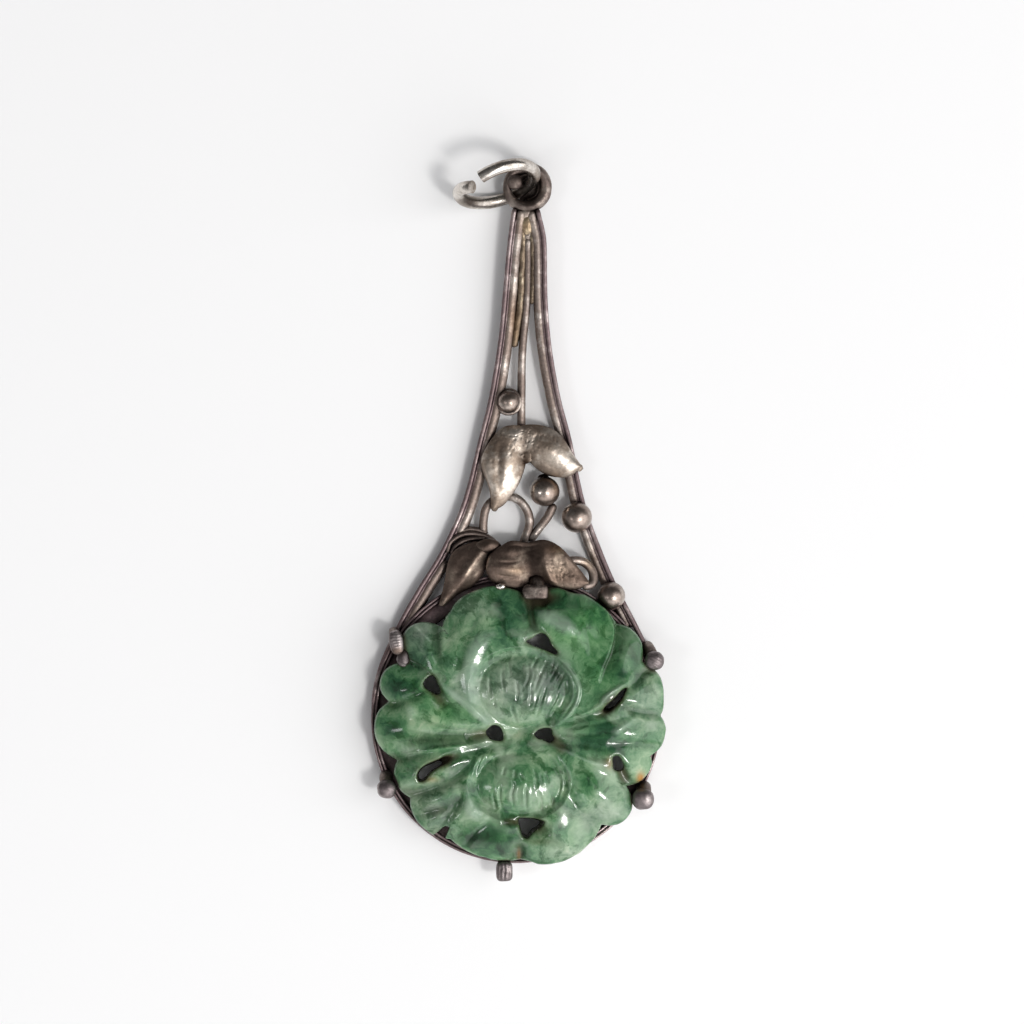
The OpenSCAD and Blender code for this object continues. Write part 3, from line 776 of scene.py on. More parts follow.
leaves = {
    "thickness": 0.5, "alongSteps": 16, "across": 60,
    "edge": (0.06, 0.10),            # share of the length and width where the relief fades out
    "domeTurn": (20, 150),           # degrees at the stalk, and on to the tip
    "domeRound": 0.8,
    "paleAbove": 5,                  # y above which the solder is pale too
    # edges from the stalk to the tip, x and y; heights of stalk, tip and dome
    "rows": {
        "upperLeftLeaf": {
            "left": [(0.8, 9.4), (0.9, 7.8), (0.85, 5.9), (0.2, 3.9), (-0.6, 2.6), (-1.5, 1.5),
                (-2.35, 1.05)],
            "right": [(0.2, 9.9), (-1.3, 9.8), (-2.6, 8.7), (-3.6, 7), (-3.8, 5.6), (-3, 3.2),
                (-2.75, 1.05)],
            "stalk": 2.1, "tip": 2.3, "dome": 0.9, "finish": "paleLeafSilver",
        },
        "upperRightLeaf": {
            "left": [(0.3, 9.9), (1.4, 10), (2.5, 9.9), (3.7, 9.5), (4.8, 8.5), (5.8, 6.9), (6.62, 5.75)],
            "right": [(0.6, 8), (0.9, 6.6), (1.7, 5.6), (2.8, 4.78), (4, 4.46), (5.4, 4.5), (6.52, 5.4)],
            "stalk": 2.1, "tip": 2.3, "dome": 0.9, "finish": "paleLeafSilver",
        },
        "lowLeftLeaf": {
            "left": [(-2.5, -2.9), (-3, -4.4), (-3.8, -6), (-4.9, -7.1), (-6.3, -7.9), (-7.7, -9.1)],
            "right": [(-3, -2.2), (-4.9, -2.4), (-6.6, -3.2), (-7.35, -4.6), (-7.75, -6.8), (-8.3, -9)],
            "stalk": 2.3, "tip": 2.2, "dome": 0.8, "finish": "darkLeafSilver",
        },
        "centreLeaves": {
            "left": [(-3.32, -4.9), (-3.1, -4), (-2.6, -3.3), (-1.7, -2.7), (-0.6, -2.2), (1.05, -2.35),
                (2.7, -2.1), (4.1, -2.6), (5.3, -3.7), (6.5, -5.2), (7.5, -6.5)],
            "right": [(-3.32, -5.3), (-3.15, -5.9), (-2.7, -6.5), (-1.8, -7), (-0.4, -7.2), (1, -6.9),
                (2.4, -6.6), (3.6, -6.9), (4.8, -7.35), (6.1, -7.35), (7.4, -6.8)],
            "stalk": 3.1, "tip": 3.3, "dome": 0.8, "finish": "darkLeafSilver",
        },
    },
}


# grooves in the leaves (ridges where negative): depth and half width in mm, points
leafMarks = [
    (0.16, 0.40, [(503, 436), (500, 450), (499, 468), (500, 486)]),
    (0.26, 0.60, [(522, 432), (525, 445), (524, 460), (521, 476)]),
    (-0.16, 0.45, [(489, 450), (487, 465), (490, 482), (494, 498)]),
    (-0.14, 0.60, [(540, 446), (554, 452), (568, 461)]), (0.07, 0.25, [(536, 452), (548, 464), (562, 471)]),
    (0.62, 1.35, [(521, 536), (526, 551), (531, 568), (532, 590)]),
    (-0.12, 0.35, [(541, 545), (542, 556), (539, 566)]), (0.14, 0.45, [(497, 552), (508, 556), (520, 557)]),
    (-0.16, 0.45, [(492, 566), (505, 569), (519, 570)]), (0.07, 0.16, [(496, 561), (508, 562), (519, 561)]),
    (0.09, 0.16, [(496, 574), (508, 576), (518, 577)]),
    (-0.24, 0.35, [(544, 556), (546, 568), (551, 580), (557, 588)]),
    (0.14, 0.45, [(552, 556), (562, 566), (574, 576)]), (-0.18, 0.45, [(560, 548), (571, 558), (583, 574)]),
    (-0.26, 0.55, [(490, 545), (479, 556), (468, 572), (455, 590)]),
    (0.14, 0.60, [(470, 552), (460, 566), (452, 582)]),
]
leafPits = {"radius": (0.06, 0.13), "depth": (0.02, 0.07), "seed": 71,
    "groups": [(130, (526, 440), (22, 12)), (36, (560, 572), (12, 8))]}


# solder that joins the leaves: x, y, z, half sizes
leafJoins = {
    "upperLeafSolder": (0.60, 8.30, 2.42, 2.10, 1.50, 0.62),
    "leafForkSolder": (0.80, 6.95, 2.30, 0.95, 1.10, 0.50),
    "berrySolder": (2.70, 4.35, 1.55, 0.62, 0.45, 0.42),
    "stalkSolder": (-3.05, -2.75, 2.60, 1.30, 0.75, 0.60),
}


def setRelief(piece):
    # the leaves' grooves and pits also run over the solder between them
    co = np.array([v.co for v in piece.data.vertices])
    middle = co[:, 2].mean()
    co[:, 2] -= leafRelief(co[:, :2] / mm) * mm * np.clip((co[:, 2] - middle) / (0.2 * mm), 0, 1)
    piece.data.vertices.foreach_set("co", co.ravel())


def byLine(xy, points, fade):
    # how far from a line read off the photo, on which side of it,
    # and how full its cut is there: it fades out over a share of its length at both ends
    away, part, foot, side = nearLine(xy, smoothRows(fromPhoto(points), 4))
    return away, side, np.clip(np.minimum(part, 1 - part) / fade, 0, 1)


def leafRelief(xy):
    drop = np.zeros(len(xy))
    for depth, half, points in leafMarks:
        away, side, taper = byLine(xy, points, 0.3)
        drop += depth * np.exp(-(away / half) ** 2) * (0.3 + 0.7 * taper)
    draw = np.random.default_rng(leafPits["seed"])
    for count, middle, spread in leafPits["groups"]:
        for i in range(count):
            spot = fromPhoto([draw.normal(middle, spread)])[0]
            radius, depth = draw.uniform(*leafPits["radius"]), draw.uniform(*leafPits["depth"])
            drop += depth * np.exp(-((xy - spot) ** 2).sum(1) / radius ** 2)
    # beaten sheet: broad dents, and fine ones on them
    broad = [noise.noise(Vector((x * 0.45, y * 0.45, 4.0))) * 0.14 for x, y in xy]
    fine = [noise.noise(Vector((x * 1.9, y * 1.9, 9.0))) * 0.025 for x, y in xy]
    return drop + (np.array(broad) + np.array(fine))


def makeLeaves():
    across = leaves["across"]
    for name, leaf in leaves["rows"].items():
        left = smoothRows(leaf["left"], leaves["alongSteps"])
        right = smoothRows(leaf["right"], leaves["alongSteps"])
        count = len(left)
        u = np.linspace(0, 1, count)[:, None]
        v = np.linspace(0, 1, across + 1)[None, :]
        x = left[:, :1] * (1 - v) + right[:, :1] * v
        y = left[:, 1:] * (1 - v) + right[:, 1:] * v
        first, further = leaves["domeTurn"]
        dome = leaf["dome"] * (4 * v * (1 - v)) ** leaves["domeRound"]
        dome = dome * np.sin(np.radians(first + further * u)) ** leaves["domeRound"]
        z = leaf["stalk"] + (leaf["tip"] - leaf["stalk"]) * u + dome
        top = np.stack([x, y, z], -1).reshape(-1, 3)
        atEnd, atSide = leaves["edge"]
        inward = np.minimum(np.minimum(u, 1 - u) / atEnd, np.minimum(v, 1 - v) / atSide).clip(0, 1).ravel()
        top[:, 2] -= leafRelief(top[:, :2]) * inward
        points = np.concatenate([top, top - [0, 0, leaves["thickness"]]])
        row, size = across + 1, len(top)
        faces = []
        for i in range(count - 1):
            for j in range(across):
                a = i * row + j
                faces.append((a, a + row, a + row + 1, a + 1))
                faces.append((size + a, size + a + 1, size + a + row + 1, size + a + row))
        rim = list(range(across)) + [i * row + across for i in range(count - 1)]
        rim += [(count - 1) * row + j for j in range(across, 0, -1)]
        rim += [i * row for i in range(count - 1, 0, -1)]
        for a, b in zip(rim, rim[1:] + rim[:1]):
            faces.append((a, b, size + b, size + a))
        piece = meshPiece(name, points * mm, faces)
        shape = bmesh.new()
        shape.from_mesh(piece.data)
        bmesh.ops.recalc_face_normals(shape, faces=shape.faces)
        shape.to_mesh(piece.data)
        shape.free()
        piece.data.materials.append(finishes[leaf["finish"]])
        finishPiece(piece)
    for name, (x, y, z, *sizes) in leafJoins.items():
        finish = "paleLeafSilver" if y > leaves["paleAbove"] else "darkLeafSilver"
        join = ballMesh(name, (x, y, z), sizes, finish, dent=0.05, seed=len(name), detail=6)
        setRelief(join)
        finishPiece(join)
    print("leaves done")


makeLeaves()


# the carved stone

stone = {
    "centre": (0.13, -21.97), "seat": 1.9, "rim": 1.5, "rise": 1.9, "curve": 0.80,
    "cells": 256, "edgeRound": 0.42, "holeRound": 0.12, "ragged": 0.35,
    "core": 12.7,       # radius of the round part between the petals
    "thinnest": 0.7,    # least thickness, in the deepest cuts
    "mergeWithin": 0.03,
    # the side wall below the rounded edge: share of the way down, inset
    "wall": [(0.35, 0.03), (0.7, 0.12), (0.93, 0.20), (1.0, 0.37)],
    # direction, reach, half width in degrees, drop at that half width
    "petals": [
        (63, 15.70, 22, 1.2), (39, 15.85, 13, 1.9), (17, 15.85, 13, 1.3), (-1, 15.40, 8, 0.8),
        (-17, 14.45, 9, 1.2), (-39, 14.65, 12, 2.2), (-71, 14.55, 18, 0.9), (-105, 13.90, 24, 0.8),
        (-135, 14.40, 13, 0.9), (-156, 14.05, 9, 0.7), (179, 15.15, 13, 1.4), (159, 15.45, 10, 1.7),
        (138, 15.75, 10, 1.8), (105, 15.35, 19, 1.4)],
    # x, y, half width, half height
    "buds": [(0.44, -17.78, 5.0, 3.9), (0.10, -27.60, 4.8, 3.4)],
    "budRise": 1.69, "budHollow": 0.57,
    # direction, half width in degrees and depth of the narrow notch in the rim
    "notch": (-126.6, 1.9, 1.45),
    "softness": 5.0,    # lower makes the petals' borders softer
    "worn": 3.6,        # degrees over which their kinks are evened
}
pierced = {
    "middleLeft": [(486, 731), (489, 726), (494, 723), (500, 725), (503, 731), (503, 738), (497, 739),
        (490, 737)],
    "middleRight": [(534, 733), (538, 728), (545, 726), (551, 727), (552, 733), (554, 738), (549, 741),
        (543, 738), (538, 737)],
    "top": [(526, 640), (532, 637), (537, 633), (543, 632), (548, 636), (552, 644), (557, 650), (555, 653),
        (548, 650), (540, 647), (532, 644)],
    "upperLeft": [(424, 681), (429, 675), (434, 674), (438, 681), (441, 690), (438, 693), (431, 690),
        (425, 686)],
    "rightSlot": [(626, 686), (624, 693), (619, 701), (612, 708), (606, 711), (602, 709), (606, 703),
        (613, 697), (620, 689)],
    "lowLeftSlot": [(417, 775), (420, 767), (428, 761), (438, 757), (447, 753), (452, 755), (449, 760),
        (440, 765), (432, 771), (426, 778), (420, 780)],
    "lowRight": [(612, 761), (612, 755), (617, 753), (621, 758), (623, 766), (618, 769), (613, 767)],
    "bottom": [(518, 816), (528, 815), (538, 816), (545, 819), (541, 825), (534, 829), (528, 836),
        (522, 834), (519, 825)],
}
# name: depth (raised where negative) and half width in mm, points
carving = {
    "topCrease": (0.60, 0.42, [(527, 586), (530, 600), (531, 615), (534, 626), (541, 632)]),
    "upperLeftCrease": (0.50, 0.50, [(446, 600), (438, 615), (436, 632), (438, 650), (441, 668)]),
    "leftCrease": (0.35, 0.60, [(386, 703), (400, 701), (415, 695), (427, 688)]),
    "leftValley": (0.32, 0.95, [(402, 742), (425, 739), (450, 737), (475, 736), (488, 733)]),
    "leftNotch": (0.32, 0.55, [(382, 755), (396, 757), (412, 754), (428, 749)]),
    "slotTail": (0.30, 0.60, [(452, 755), (470, 750), (487, 746), (502, 742)]),
    "lowLeftCrease": (0.42, 0.70, [(400, 791), (418, 790), (436, 785), (452, 777), (466, 766), (480, 755)]),
    "lowLeftFold": (0.35, 0.60, [(416, 813), (434, 808), (452, 801), (462, 792)]),
    "bottomLeftCrease": (0.40, 0.60, [(442, 826), (448, 815), (456, 806), (463, 796), (468, 785)]),
    "bottomCrease": (0.35, 0.50, [(519, 862), (520, 850), (519, 840)]),
    "lowRightCrease": (0.22, 0.80, [(597, 834), (587, 818), (577, 803), (571, 788)]),
    "rightClawCrease": (0.35, 0.60, [(636, 792), (628, 781), (620, 771), (616, 764)]),
    "rightCreaseHigh": (0.30, 0.50, [(662, 712), (647, 711), (633, 708), (620, 703)]),
    "rightCreaseLow": (0.24, 0.50, [(662, 745), (646, 743), (630, 741), (611, 742)]),
    "clawCrease": (0.36, 0.50, [(652, 665), (643, 672), (636, 680), (628, 688)]),
    "slotToBud": (0.25, 0.60, [(606, 708), (592, 713), (578, 717), (566, 724)]),
    "leftFluteA": (0.10, 0.22, [(412, 712), (432, 720), (456, 726), (482, 728)]),
    "leftFluteB": (0.10, 0.25, [(408, 727), (430, 731), (456, 732), (480, 731)]),
    "leftFluteC": (0.09, 0.22, [(432, 702), (450, 712), (468, 720)]),
    "leftFluteD": (0.10, 0.22, [(430, 744), (452, 742), (478, 741)]),
    "rightFluteA": (0.12, 0.25, [(556, 732), (580, 733), (612, 731)]),
    "rightFluteB": (0.13, 0.28, [(562, 741), (586, 744), (609, 748)]),
    "rightFluteC": (0.08, 0.30, [(566, 758), (584, 769), (596, 783)]),
    "rightFluteD": (0.10, 0.22, [(576, 752), (594, 756), (608, 757)]),
    "rightFluteE": (0.10, 0.22, [(570, 726), (596, 722), (618, 718)]),
    "lowFluteA": (0.10, 0.30, [(492, 818), (478, 828), (466, 842)]),
    "petalFluteA": (0.09, 0.40, [(486, 600), (474, 622), (462, 650), (458, 680)]),
    "petalFluteB": (0.08, 0.40, [(510, 596), (500, 612), (486, 630)]),
    "petalFluteC": (0.09, 0.35, [(462, 612), (450, 632), (447, 656), (450, 676)]),
    "petalFluteD": (0.08, 0.40, [(560, 604), (578, 622), (590, 645), (590, 668)]),
    "leftRidge": (-0.30, 0.35, [(441, 682), (453, 691), (467, 702), (480, 713), (488, 721)]),
    "leftRidgeLow": (-0.13, 0.22, [(397, 755), (418, 750), (440, 746), (466, 742), (484, 741)]),
    "slotLip": (-0.20, 0.24, [(626, 681), (616, 687), (606, 694), (600, 700)]),
    "slotLipLow": (-0.18, 0.22, [(602, 701), (592, 708), (577, 714), (566, 717)]),
    "rightRidge": (-0.16, 0.20, [(552, 744), (567, 749), (586, 757), (606, 765)]),
    "budRimLeft": (-0.32, 0.80, [(490, 630), (478, 643), (471, 660), (470, 680), (474, 700), (484, 716)]),
    "budRimRight": (-0.16, 0.16, [(562, 664), (570, 676), (573, 688), (571, 699), (566, 707), (559, 718)]),
    "budRimRightOuter": (-0.18, 0.18, [(558, 656), (569, 667), (577, 681), (578, 692), (574, 704),
        (567, 714), (554, 724)]),
    "budRimLeftInner": (-0.10, 0.14, [(483, 670), (479, 681), (479, 692)]),
    "lowRimRight": (-0.14, 0.15, [(550, 751), (557, 761), (562, 774), (562, 786), (559, 796)]),
    "lowRimRightOuter": (-0.16, 0.17, [(558, 752), (565, 763), (569, 776), (567, 792)]),
    "lowRimLeft": (-0.16, 0.20, [(480, 754), (475, 764), (472, 776)]),
    "lowRimLeftInner": (-0.10, 0.14, [(486, 752), (481, 762), (478, 772)]),
    "lowRimSwell": (-0.42, 0.62, [(469, 780), (466, 794), (471, 806), (482, 814)]),
    "swellHighRight": (-0.34, 0.80, [(538, 609), (554, 618), (577, 630)]),
    "swellLeft": (-0.22, 0.55, [(406, 698), (411, 707), (415, 717)]),
    "swellRight": (-0.22, 0.40, [(610, 732), (620, 726), (632, 718)]),
    "swellLowRight": (-0.20, 0.50, [(575, 788), (580, 797), (585, 806)]),
    "topNotch": (0.55, 0.70, [(535, 590), (541, 598), (548, 604)]),
    "topTail": (0.40, 0.50, [(526, 640), (540, 640), (556, 652)]),
}
# a petal that lies over the next one: depth, how far the drop takes to fade in mm, points;
# the low side is left of the way it runs
overlaps = {
    "bigPetal": (0.62, 1.5, [(590, 594), (599, 601), (607, 612), (613, 627), (612, 640), (608, 654),
        (602, 668), (598, 682)]),
    "upperLeftPetal": (0.30, 1.2, [(458, 706), (447, 694), (438, 676), (424, 664), (410, 656), (398, 652)]),
}
# the piercings narrow downward, toward this place and by this share
pierceSlant = {
    "middleLeft": ((498, 730), 0.98), "middleRight": ((539, 731), 0.98), "top": ((543, 641), 0.98),
    "upperLeft": ((431, 682), 0.98),
    "rightSlot": ((620, 692), 0.82), "lowLeftSlot": ((423, 773), 0.66), "lowRight": ((616, 759), 0.98),
    "bottom": ((524, 824), 0.75),
}
# grooves that run out from the piercings, holding old earth and painted shade:
# depth and half width in mm, amount of earth and painted shade, points from the deep end
tails = {
    "upperLeft": (0.75, 0.44, 0.85, [(433, 686), (439, 696), (446, 706)]),
    "middleLeft": (0.55, 0.42, 0.70, [(489, 731), (479, 732), (466, 735)]),
    "middleRight": (0.90, 0.50, 0.95, [(549, 735), (558, 741), (567, 751)]),
    "lowRight": (0.80, 0.46, 0.90, [(618, 763), (622, 771), (626, 782)]),
    "bottom": (1.00, 0.80, 0.90, [(533, 824), (541, 826), (552, 827)]),
    "bottomLeft": (0.50, 0.34, 0.75, [(519, 819), (511, 819), (501, 818)]),
    "rightSlot": (0.50, 0.40, 0.80, [(607, 707), (601, 712), (594, 716)]),
    "lowLeftSlot": (0.50, 0.36, 0.90, [(447, 757), (454, 754), (462, 752)]),
    "lowLeftSlotFoot": (0.20, 0.34, 0.75, [(424, 778), (433, 772), (440, 767)]),
    "underTopClaw": (0.60, 0.70, 0.90, [(537, 591), (537, 599), (536, 610)]),
    "besideTopClaw": (0.30, 0.45, 0.65, [(543, 597), (551, 597), (562, 592)]),
}
budLines = {
    "depth": 0.125, "halfWidth": 0.14,
    "grooves": [
        [(502, 666), (503, 680), (506, 693)], [(490, 671), (490, 688), (492, 697)],
        [(516, 676), (518, 690), (517, 701)],
        [(528, 658), (529, 675), (524, 687)], [(531, 681), (531, 692), (530, 705)],
        [(539, 654), (531, 669)],
        [(538, 667), (540, 677)], [(549, 656), (541, 672), (533, 691)], [(559, 662), (549, 681)],
        [(554, 659), (550, 676)],
        [(566, 669), (558, 684), (556, 693)], [(511, 703), (514, 713), (518, 723)],
        [(494, 697), (496, 708)], [(557, 703), (551, 714)],
        [(546, 684), (541, 700), (536, 716)], [(560, 686), (553, 702), (545, 716)],
        [(508, 656), (510, 668), (511, 676)],
        [(493, 787), (494, 795), (497, 809)], [(501, 780), (500, 795), (503, 808)],
        [(511, 774), (514, 783), (512, 793), (515, 807)],
        [(515, 766), (515, 777)], [(520, 770), (524, 779)], [(527, 779), (526, 791), (527, 812)],
        [(537, 788), (541, 797), (542, 812)],
        [(551, 790), (553, 798), (551, 806)], [(533, 765), (536, 776), (537, 786)],
        [(505, 764), (503, 774)], [(545, 770), (549, 782)],
    ],
}
# colour patches of the jade: x, y, half width, half height, amount; the darker tone in the notch under the
# top claw is painted shade
jadePatches = {
    "tone": [
        (636, 652, 13, 15, -0.45), (602, 806, 24, 16, -0.15), (520, 800, 30, 20, -0.15),
        (556, 676, 12, 20, -0.20), (440, 722, 46, 22, 0.28), (430, 798, 22, 12, 0.15),
        (585, 792, 18, 12, 0.18), (512, 605, 8, 10, 0.20), (560, 640, 30, 20, 0.12),
        (508, 606, 16, 26, -0.55), (526, 618, 16, 14, -0.35), (478, 610, 18, 22, 0.10),
        (397, 685, 16, 11, -0.50), (394, 728, 15, 9, -0.62), (397, 688, 10, 8, -0.40),
        (432, 798, 20, 10, 0.25), (430, 776, 8, 8, 0.20), (492, 832, 26, 13, -0.58),
        (470, 836, 12, 10, -0.45), (505, 848, 14, 8, -0.40), (416, 658, 14, 12, -0.55),
        (603, 724, 40, 10, -0.35), (585, 742, 26, 9, -0.40), (636, 644, 12, 16, -0.10),
        (440, 795, 16, 9, -0.35), (590, 783, 14, 8, -0.35), (600, 806, 22, 14, 0.25),
        (588, 848, 22, 10, 0.30), (560, 852, 26, 8, 0.20), (645, 705, 16, 24, 0.12),
        (572, 640, 12, 9, 0.30), (518, 735, 18, 6, 0.40), (545, 752, 14, 7, 0.25), (459, 686, 9, 22, -0.10),
        (640, 772, 12, 14, 0.35), (522, 686, 44, 34, 0.10), (553, 678, 14, 20, -0.60),
        (600, 740, 22, 12, -0.30), (588, 606, 26, 16, -0.30), (450, 642, 14, 20, 0.10),
        (430, 808, 16, 10, 0.10), (553, 800, 12, 14, 0.15), (640, 742, 14, 8, 0.15),
        (400, 655, 20, 10, -0.10), (622, 672, 6, 5, -0.60), (545, 600, 16, 9, -0.70),
        (560, 600, 16, 10, -0.25), (536, 672, 10, 14, -0.10), (565, 790, 10, 12, 0.10),
        (415, 770, 16, 10, -0.15),
    ],
    "emerald": [
        (636, 650, 13, 15, 0.45), (556, 676, 12, 20, 0.30), (440, 738, 30, 8, 0.40),
        (492, 834, 24, 12, 0.40), (400, 735, 14, 14, 0.40), (578, 628, 38, 34, 0.75),
        (455, 708, 24, 14, 0.80), (545, 705, 14, 12, 0.45), (520, 775, 16, 12, 0.35),
        (500, 700, 60, 10, 0.05), (420, 690, 18, 14, 0.50), (600, 675, 22, 20, 0.50),
        (590, 780, 16, 10, 0.50), (490, 840, 30, 14, 0.40), (610, 735, 30, 16, 0.30),
    ],
    "grey": [
        (522, 684, 42, 28, 0.75), (418, 630, 22, 22, 0.70), (470, 604, 24, 12, 0.45),
        (459, 688, 9, 24, 0.45), (430, 800, 22, 14, 0.40), (645, 700, 16, 26, 0.40),
        (440, 820, 16, 12, 0.40), (602, 812, 22, 12, 0.45), (575, 852, 30, 8, 0.45),
        (555, 668, 14, 14, 0.35),
    ],
    # brown stains and painted shade in the creases, notches and beside the piercings
    "stainAndShade": [
        (613, 699, 14, 9, 0.80), (443, 762, 16, 7, 0.75), (606, 760, 5, 8, 0.60), (646, 783, 7, 7, 0.75),
        (519, 851, 7, 8, 0.75), (436, 738, 36, 5, 0.45), (542, 597, 18, 8, 0.70), (394, 757, 10, 5, 0.50),
        (480, 735, 10, 6, 0.50), (560, 746, 8, 6, 0.55), (441, 700, 6, 7, 0.55), (508, 819, 9, 4, 0.60),
        (538, 839, 14, 4, 0.55), (410, 790, 18, 5, 0.45), (442, 808, 12, 5, 0.40), (640, 672, 8, 6, 0.30),
        (624, 776, 5, 7, 0.55), (393, 704, 7, 5, 0.50), (440, 830, 8, 7, 0.45), (518, 734, 18, 5, 0.20),
    ],
    "rust": [(640, 776, 4, 6, 0.90), (609, 761, 3, 6, 0.30), (432, 777, 7, 3, 0.30),
        (519, 852, 2, 6, 0.30)],
}


def turnFrom(angle, direction):
    return (angle - direction + 180) % 360 - 180


def reachAt(angle):
    # angle in degrees; distance from the stone's centre to its outline
    reaches = [np.full(np.shape(angle), stone["core"])]
    for direction, far, half, drop in stone["petals"]:
        reaches.append(far - drop * (np.abs(turnFrom(angle, direction)) / half) ** 2.2)
    return np.max(reaches, axis=0)


def swellAt(angle):
    # 1 on a petal's middle line, 0 at its borders
    soft = stone["softness"]
    total = np.full(np.shape(angle), math.exp(-0.6 * soft))
    for direction, far, half, drop in stone["petals"]:
        total += np.exp(soft * (1 - (turnFrom(angle, direction) / half) ** 2))
    return np.log(total) / soft


def softMin(a, b, k):
    h = np.clip(0.5 + 0.5 * (b - a) / k, 0, 1)
    return b * (1 - h) + a * h - k * h * (1 - h)


def insideEdges(xy, starts, ends):
    odd = np.zeros(len(xy), bool)
    for a, b in zip(starts, ends):
        crosses = (a[1] > xy[:, 1]) != (b[1] > xy[:, 1])
        rise = b[1] - a[1] if abs(b[1] - a[1]) > 1e-12 else 1e-12
        odd ^= crosses & (xy[:, 0] < a[0] + (xy[:, 1] - a[1]) * (b[0] - a[0]) / rise)
    return odd


def insideOutline(xy, outline):
    return insideEdges(xy, outline, np.roll(outline, -1, axis=0))


def closedOutline(points, steps=6):
    points = fromPhoto(points)
    ring = np.concatenate([points[-2:], points, points[:3]])
    return smoothRows(ring, steps)[2 * steps:-2 * steps - 1][:len(points) * steps]


def toOutline(xy, outline):
    # distance to a closed outline, negative inside it, and the nearest place on it
    away, part, foot, side = nearLine(xy, np.concatenate([outline, outline[:1]]))
    return np.where(insideOutline(xy, outline), -away, away), foot


def closeTo(xy, outline, margin):
    return (np.abs(xy - outline.mean(0)) < np.ptp(outline, axis=0) / 2 + margin).all(1)


def insideShare(xy, outline, edge):
    # 1 inside a closed outline, 0 outside, over a soft edge
    close = closeTo(xy, outline, 1.5)
    share = np.zeros(len(xy))
    away, foot = toOutline(xy[close], outline)
    share[close] = np.clip(0.5 - away / edge, 0, 1)
    return share


def carvedLines(xy):
    # how far the cut lines, ridges and petal edges lie below the smooth form
    drop = np.zeros(len(xy))
    for depth, half, points in carving.values():
        away, side, taper = byLine(xy, points, 0.25)
        drop += depth * np.exp(-(away / half) ** 2) * (0.35 + 0.65 * taper) * (away < 3 * half)
    for depth, fade, points in overlaps.values():
        away, side, taper = byLine(xy, points, 0.25)
        beyond = np.maximum(side * away, 0)
        drop += depth * np.clip(beyond / 0.16, 0, 1) * np.exp(-(beyond / fade) ** 2) * taper
    width = budLines["halfWidth"]
    for points in budLines["grooves"]:
        away, side, taper = byLine(xy, points, 0.3)
        # a cut with a low ridge beside it
        cut = np.exp(-(away / width) ** 2) - 0.3 * np.exp(-((away - 2.2 * width) / width) ** 2)
        drop += budLines["depth"] * cut * taper
    return drop


def tailShare(xy, half, points):
    # 1 at the deep end of a groove, running out to 0 at its other end
    away, part, foot, side = nearLine(xy, smoothRows(fromPhoto(points), 4))
    return np.exp(-(away / half) ** 2) * (1 - part) ** 0.8


def earthAndShadeAt(xy, outlines):
    # brown earth and painted shade in the grooves and round the edges of the piercings
    amount = np.zeros(len(xy))
    for depth, half, earthAndShade, points in tails.values():
        amount = np.maximum(amount, earthAndShade * tailShare(xy, half * 1.1, points))
    for outline in outlines:
        amount = np.maximum(amount, 0.7 * insideShare(xy, outline, 0.9))
    return amount


def evened(shape):
    # a rule of the direction, as a lookup without its kinks
    turns = np.arange(0, 360, 0.5)
    spread = np.exp(-0.5 * (turnFrom(turns, 0) / stone["worn"]) ** 2)
    values = np.real(np.fft.ifft(np.fft.fft(shape(turns)) * np.fft.fft(spread / spread.sum())))
    return lambda angle: np.interp(angle, turns, values, period=360)


def fromBud(xy, bud, further=0):
    # 0 in the middle of a bud, 1 at its edge
    x, y, wide, high = bud
    return ((xy[:, 0] - x) / (wide + further)) ** 2 + ((xy[:, 1] - y) / (high + further)) ** 2


def stoneHeight(xy, outlines):
    offset = xy - stone["centre"]
    angle = np.degrees(np.arctan2(offset[:, 1], offset[:, 0]))
    s = np.linalg.norm(offset, axis=1) / evened(reachAt)(angle)
    far, near = np.minimum((s - 0.6) / 0.4, 1.1), (0.6 - s) / 0.6
    body = np.where(s > 0.6, 1 - far ** 2, 1 - 0.7 * near ** 2)
    swell = (evened(swellAt)(angle) - 0.4) * (np.maximum(0, s - 0.3) / 0.7) ** 1.5
    z = stone["rim"] + stone["rise"] * body + stone["curve"] * swell
    for bud in stone["buds"]:
        q = fromBud(xy, bud, stone["budHollow"])
        hollow = stone["rim"] + stone["rise"] + 0.2 - 1.3 * np.sqrt(np.maximum(0, 1 - q))
        hollow += 6 * np.maximum(0, q - 1)
        z = softMin(z, hollow, 0.30)
    for bud in stone["buds"]:
        q = fromBud(xy, bud)
        swollen = stone["rim"] + 0.6 + stone["budRise"] * np.sqrt(np.maximum(0, 1 - q))
        swollen -= 6 * np.maximum(0, q - 1)
        z = -softMin(-z, -swollen, 0.22)
    z -= carvedLines(xy)
    for depth, half, earthAndShade, points in tails.values():
        z -= depth * tailShare(xy, half, points)
    for outline in outlines:
        close = closeTo(xy, outline, 1.2)
        away, foot = toOutline(xy[close], outline)
        z[close] -= stone["holeRound"] * np.exp(-(np.maximum(away, 0) / stone["holeRound"]) ** 2)
    return np.maximum(z, stone["thinnest"]) + stone["seat"]


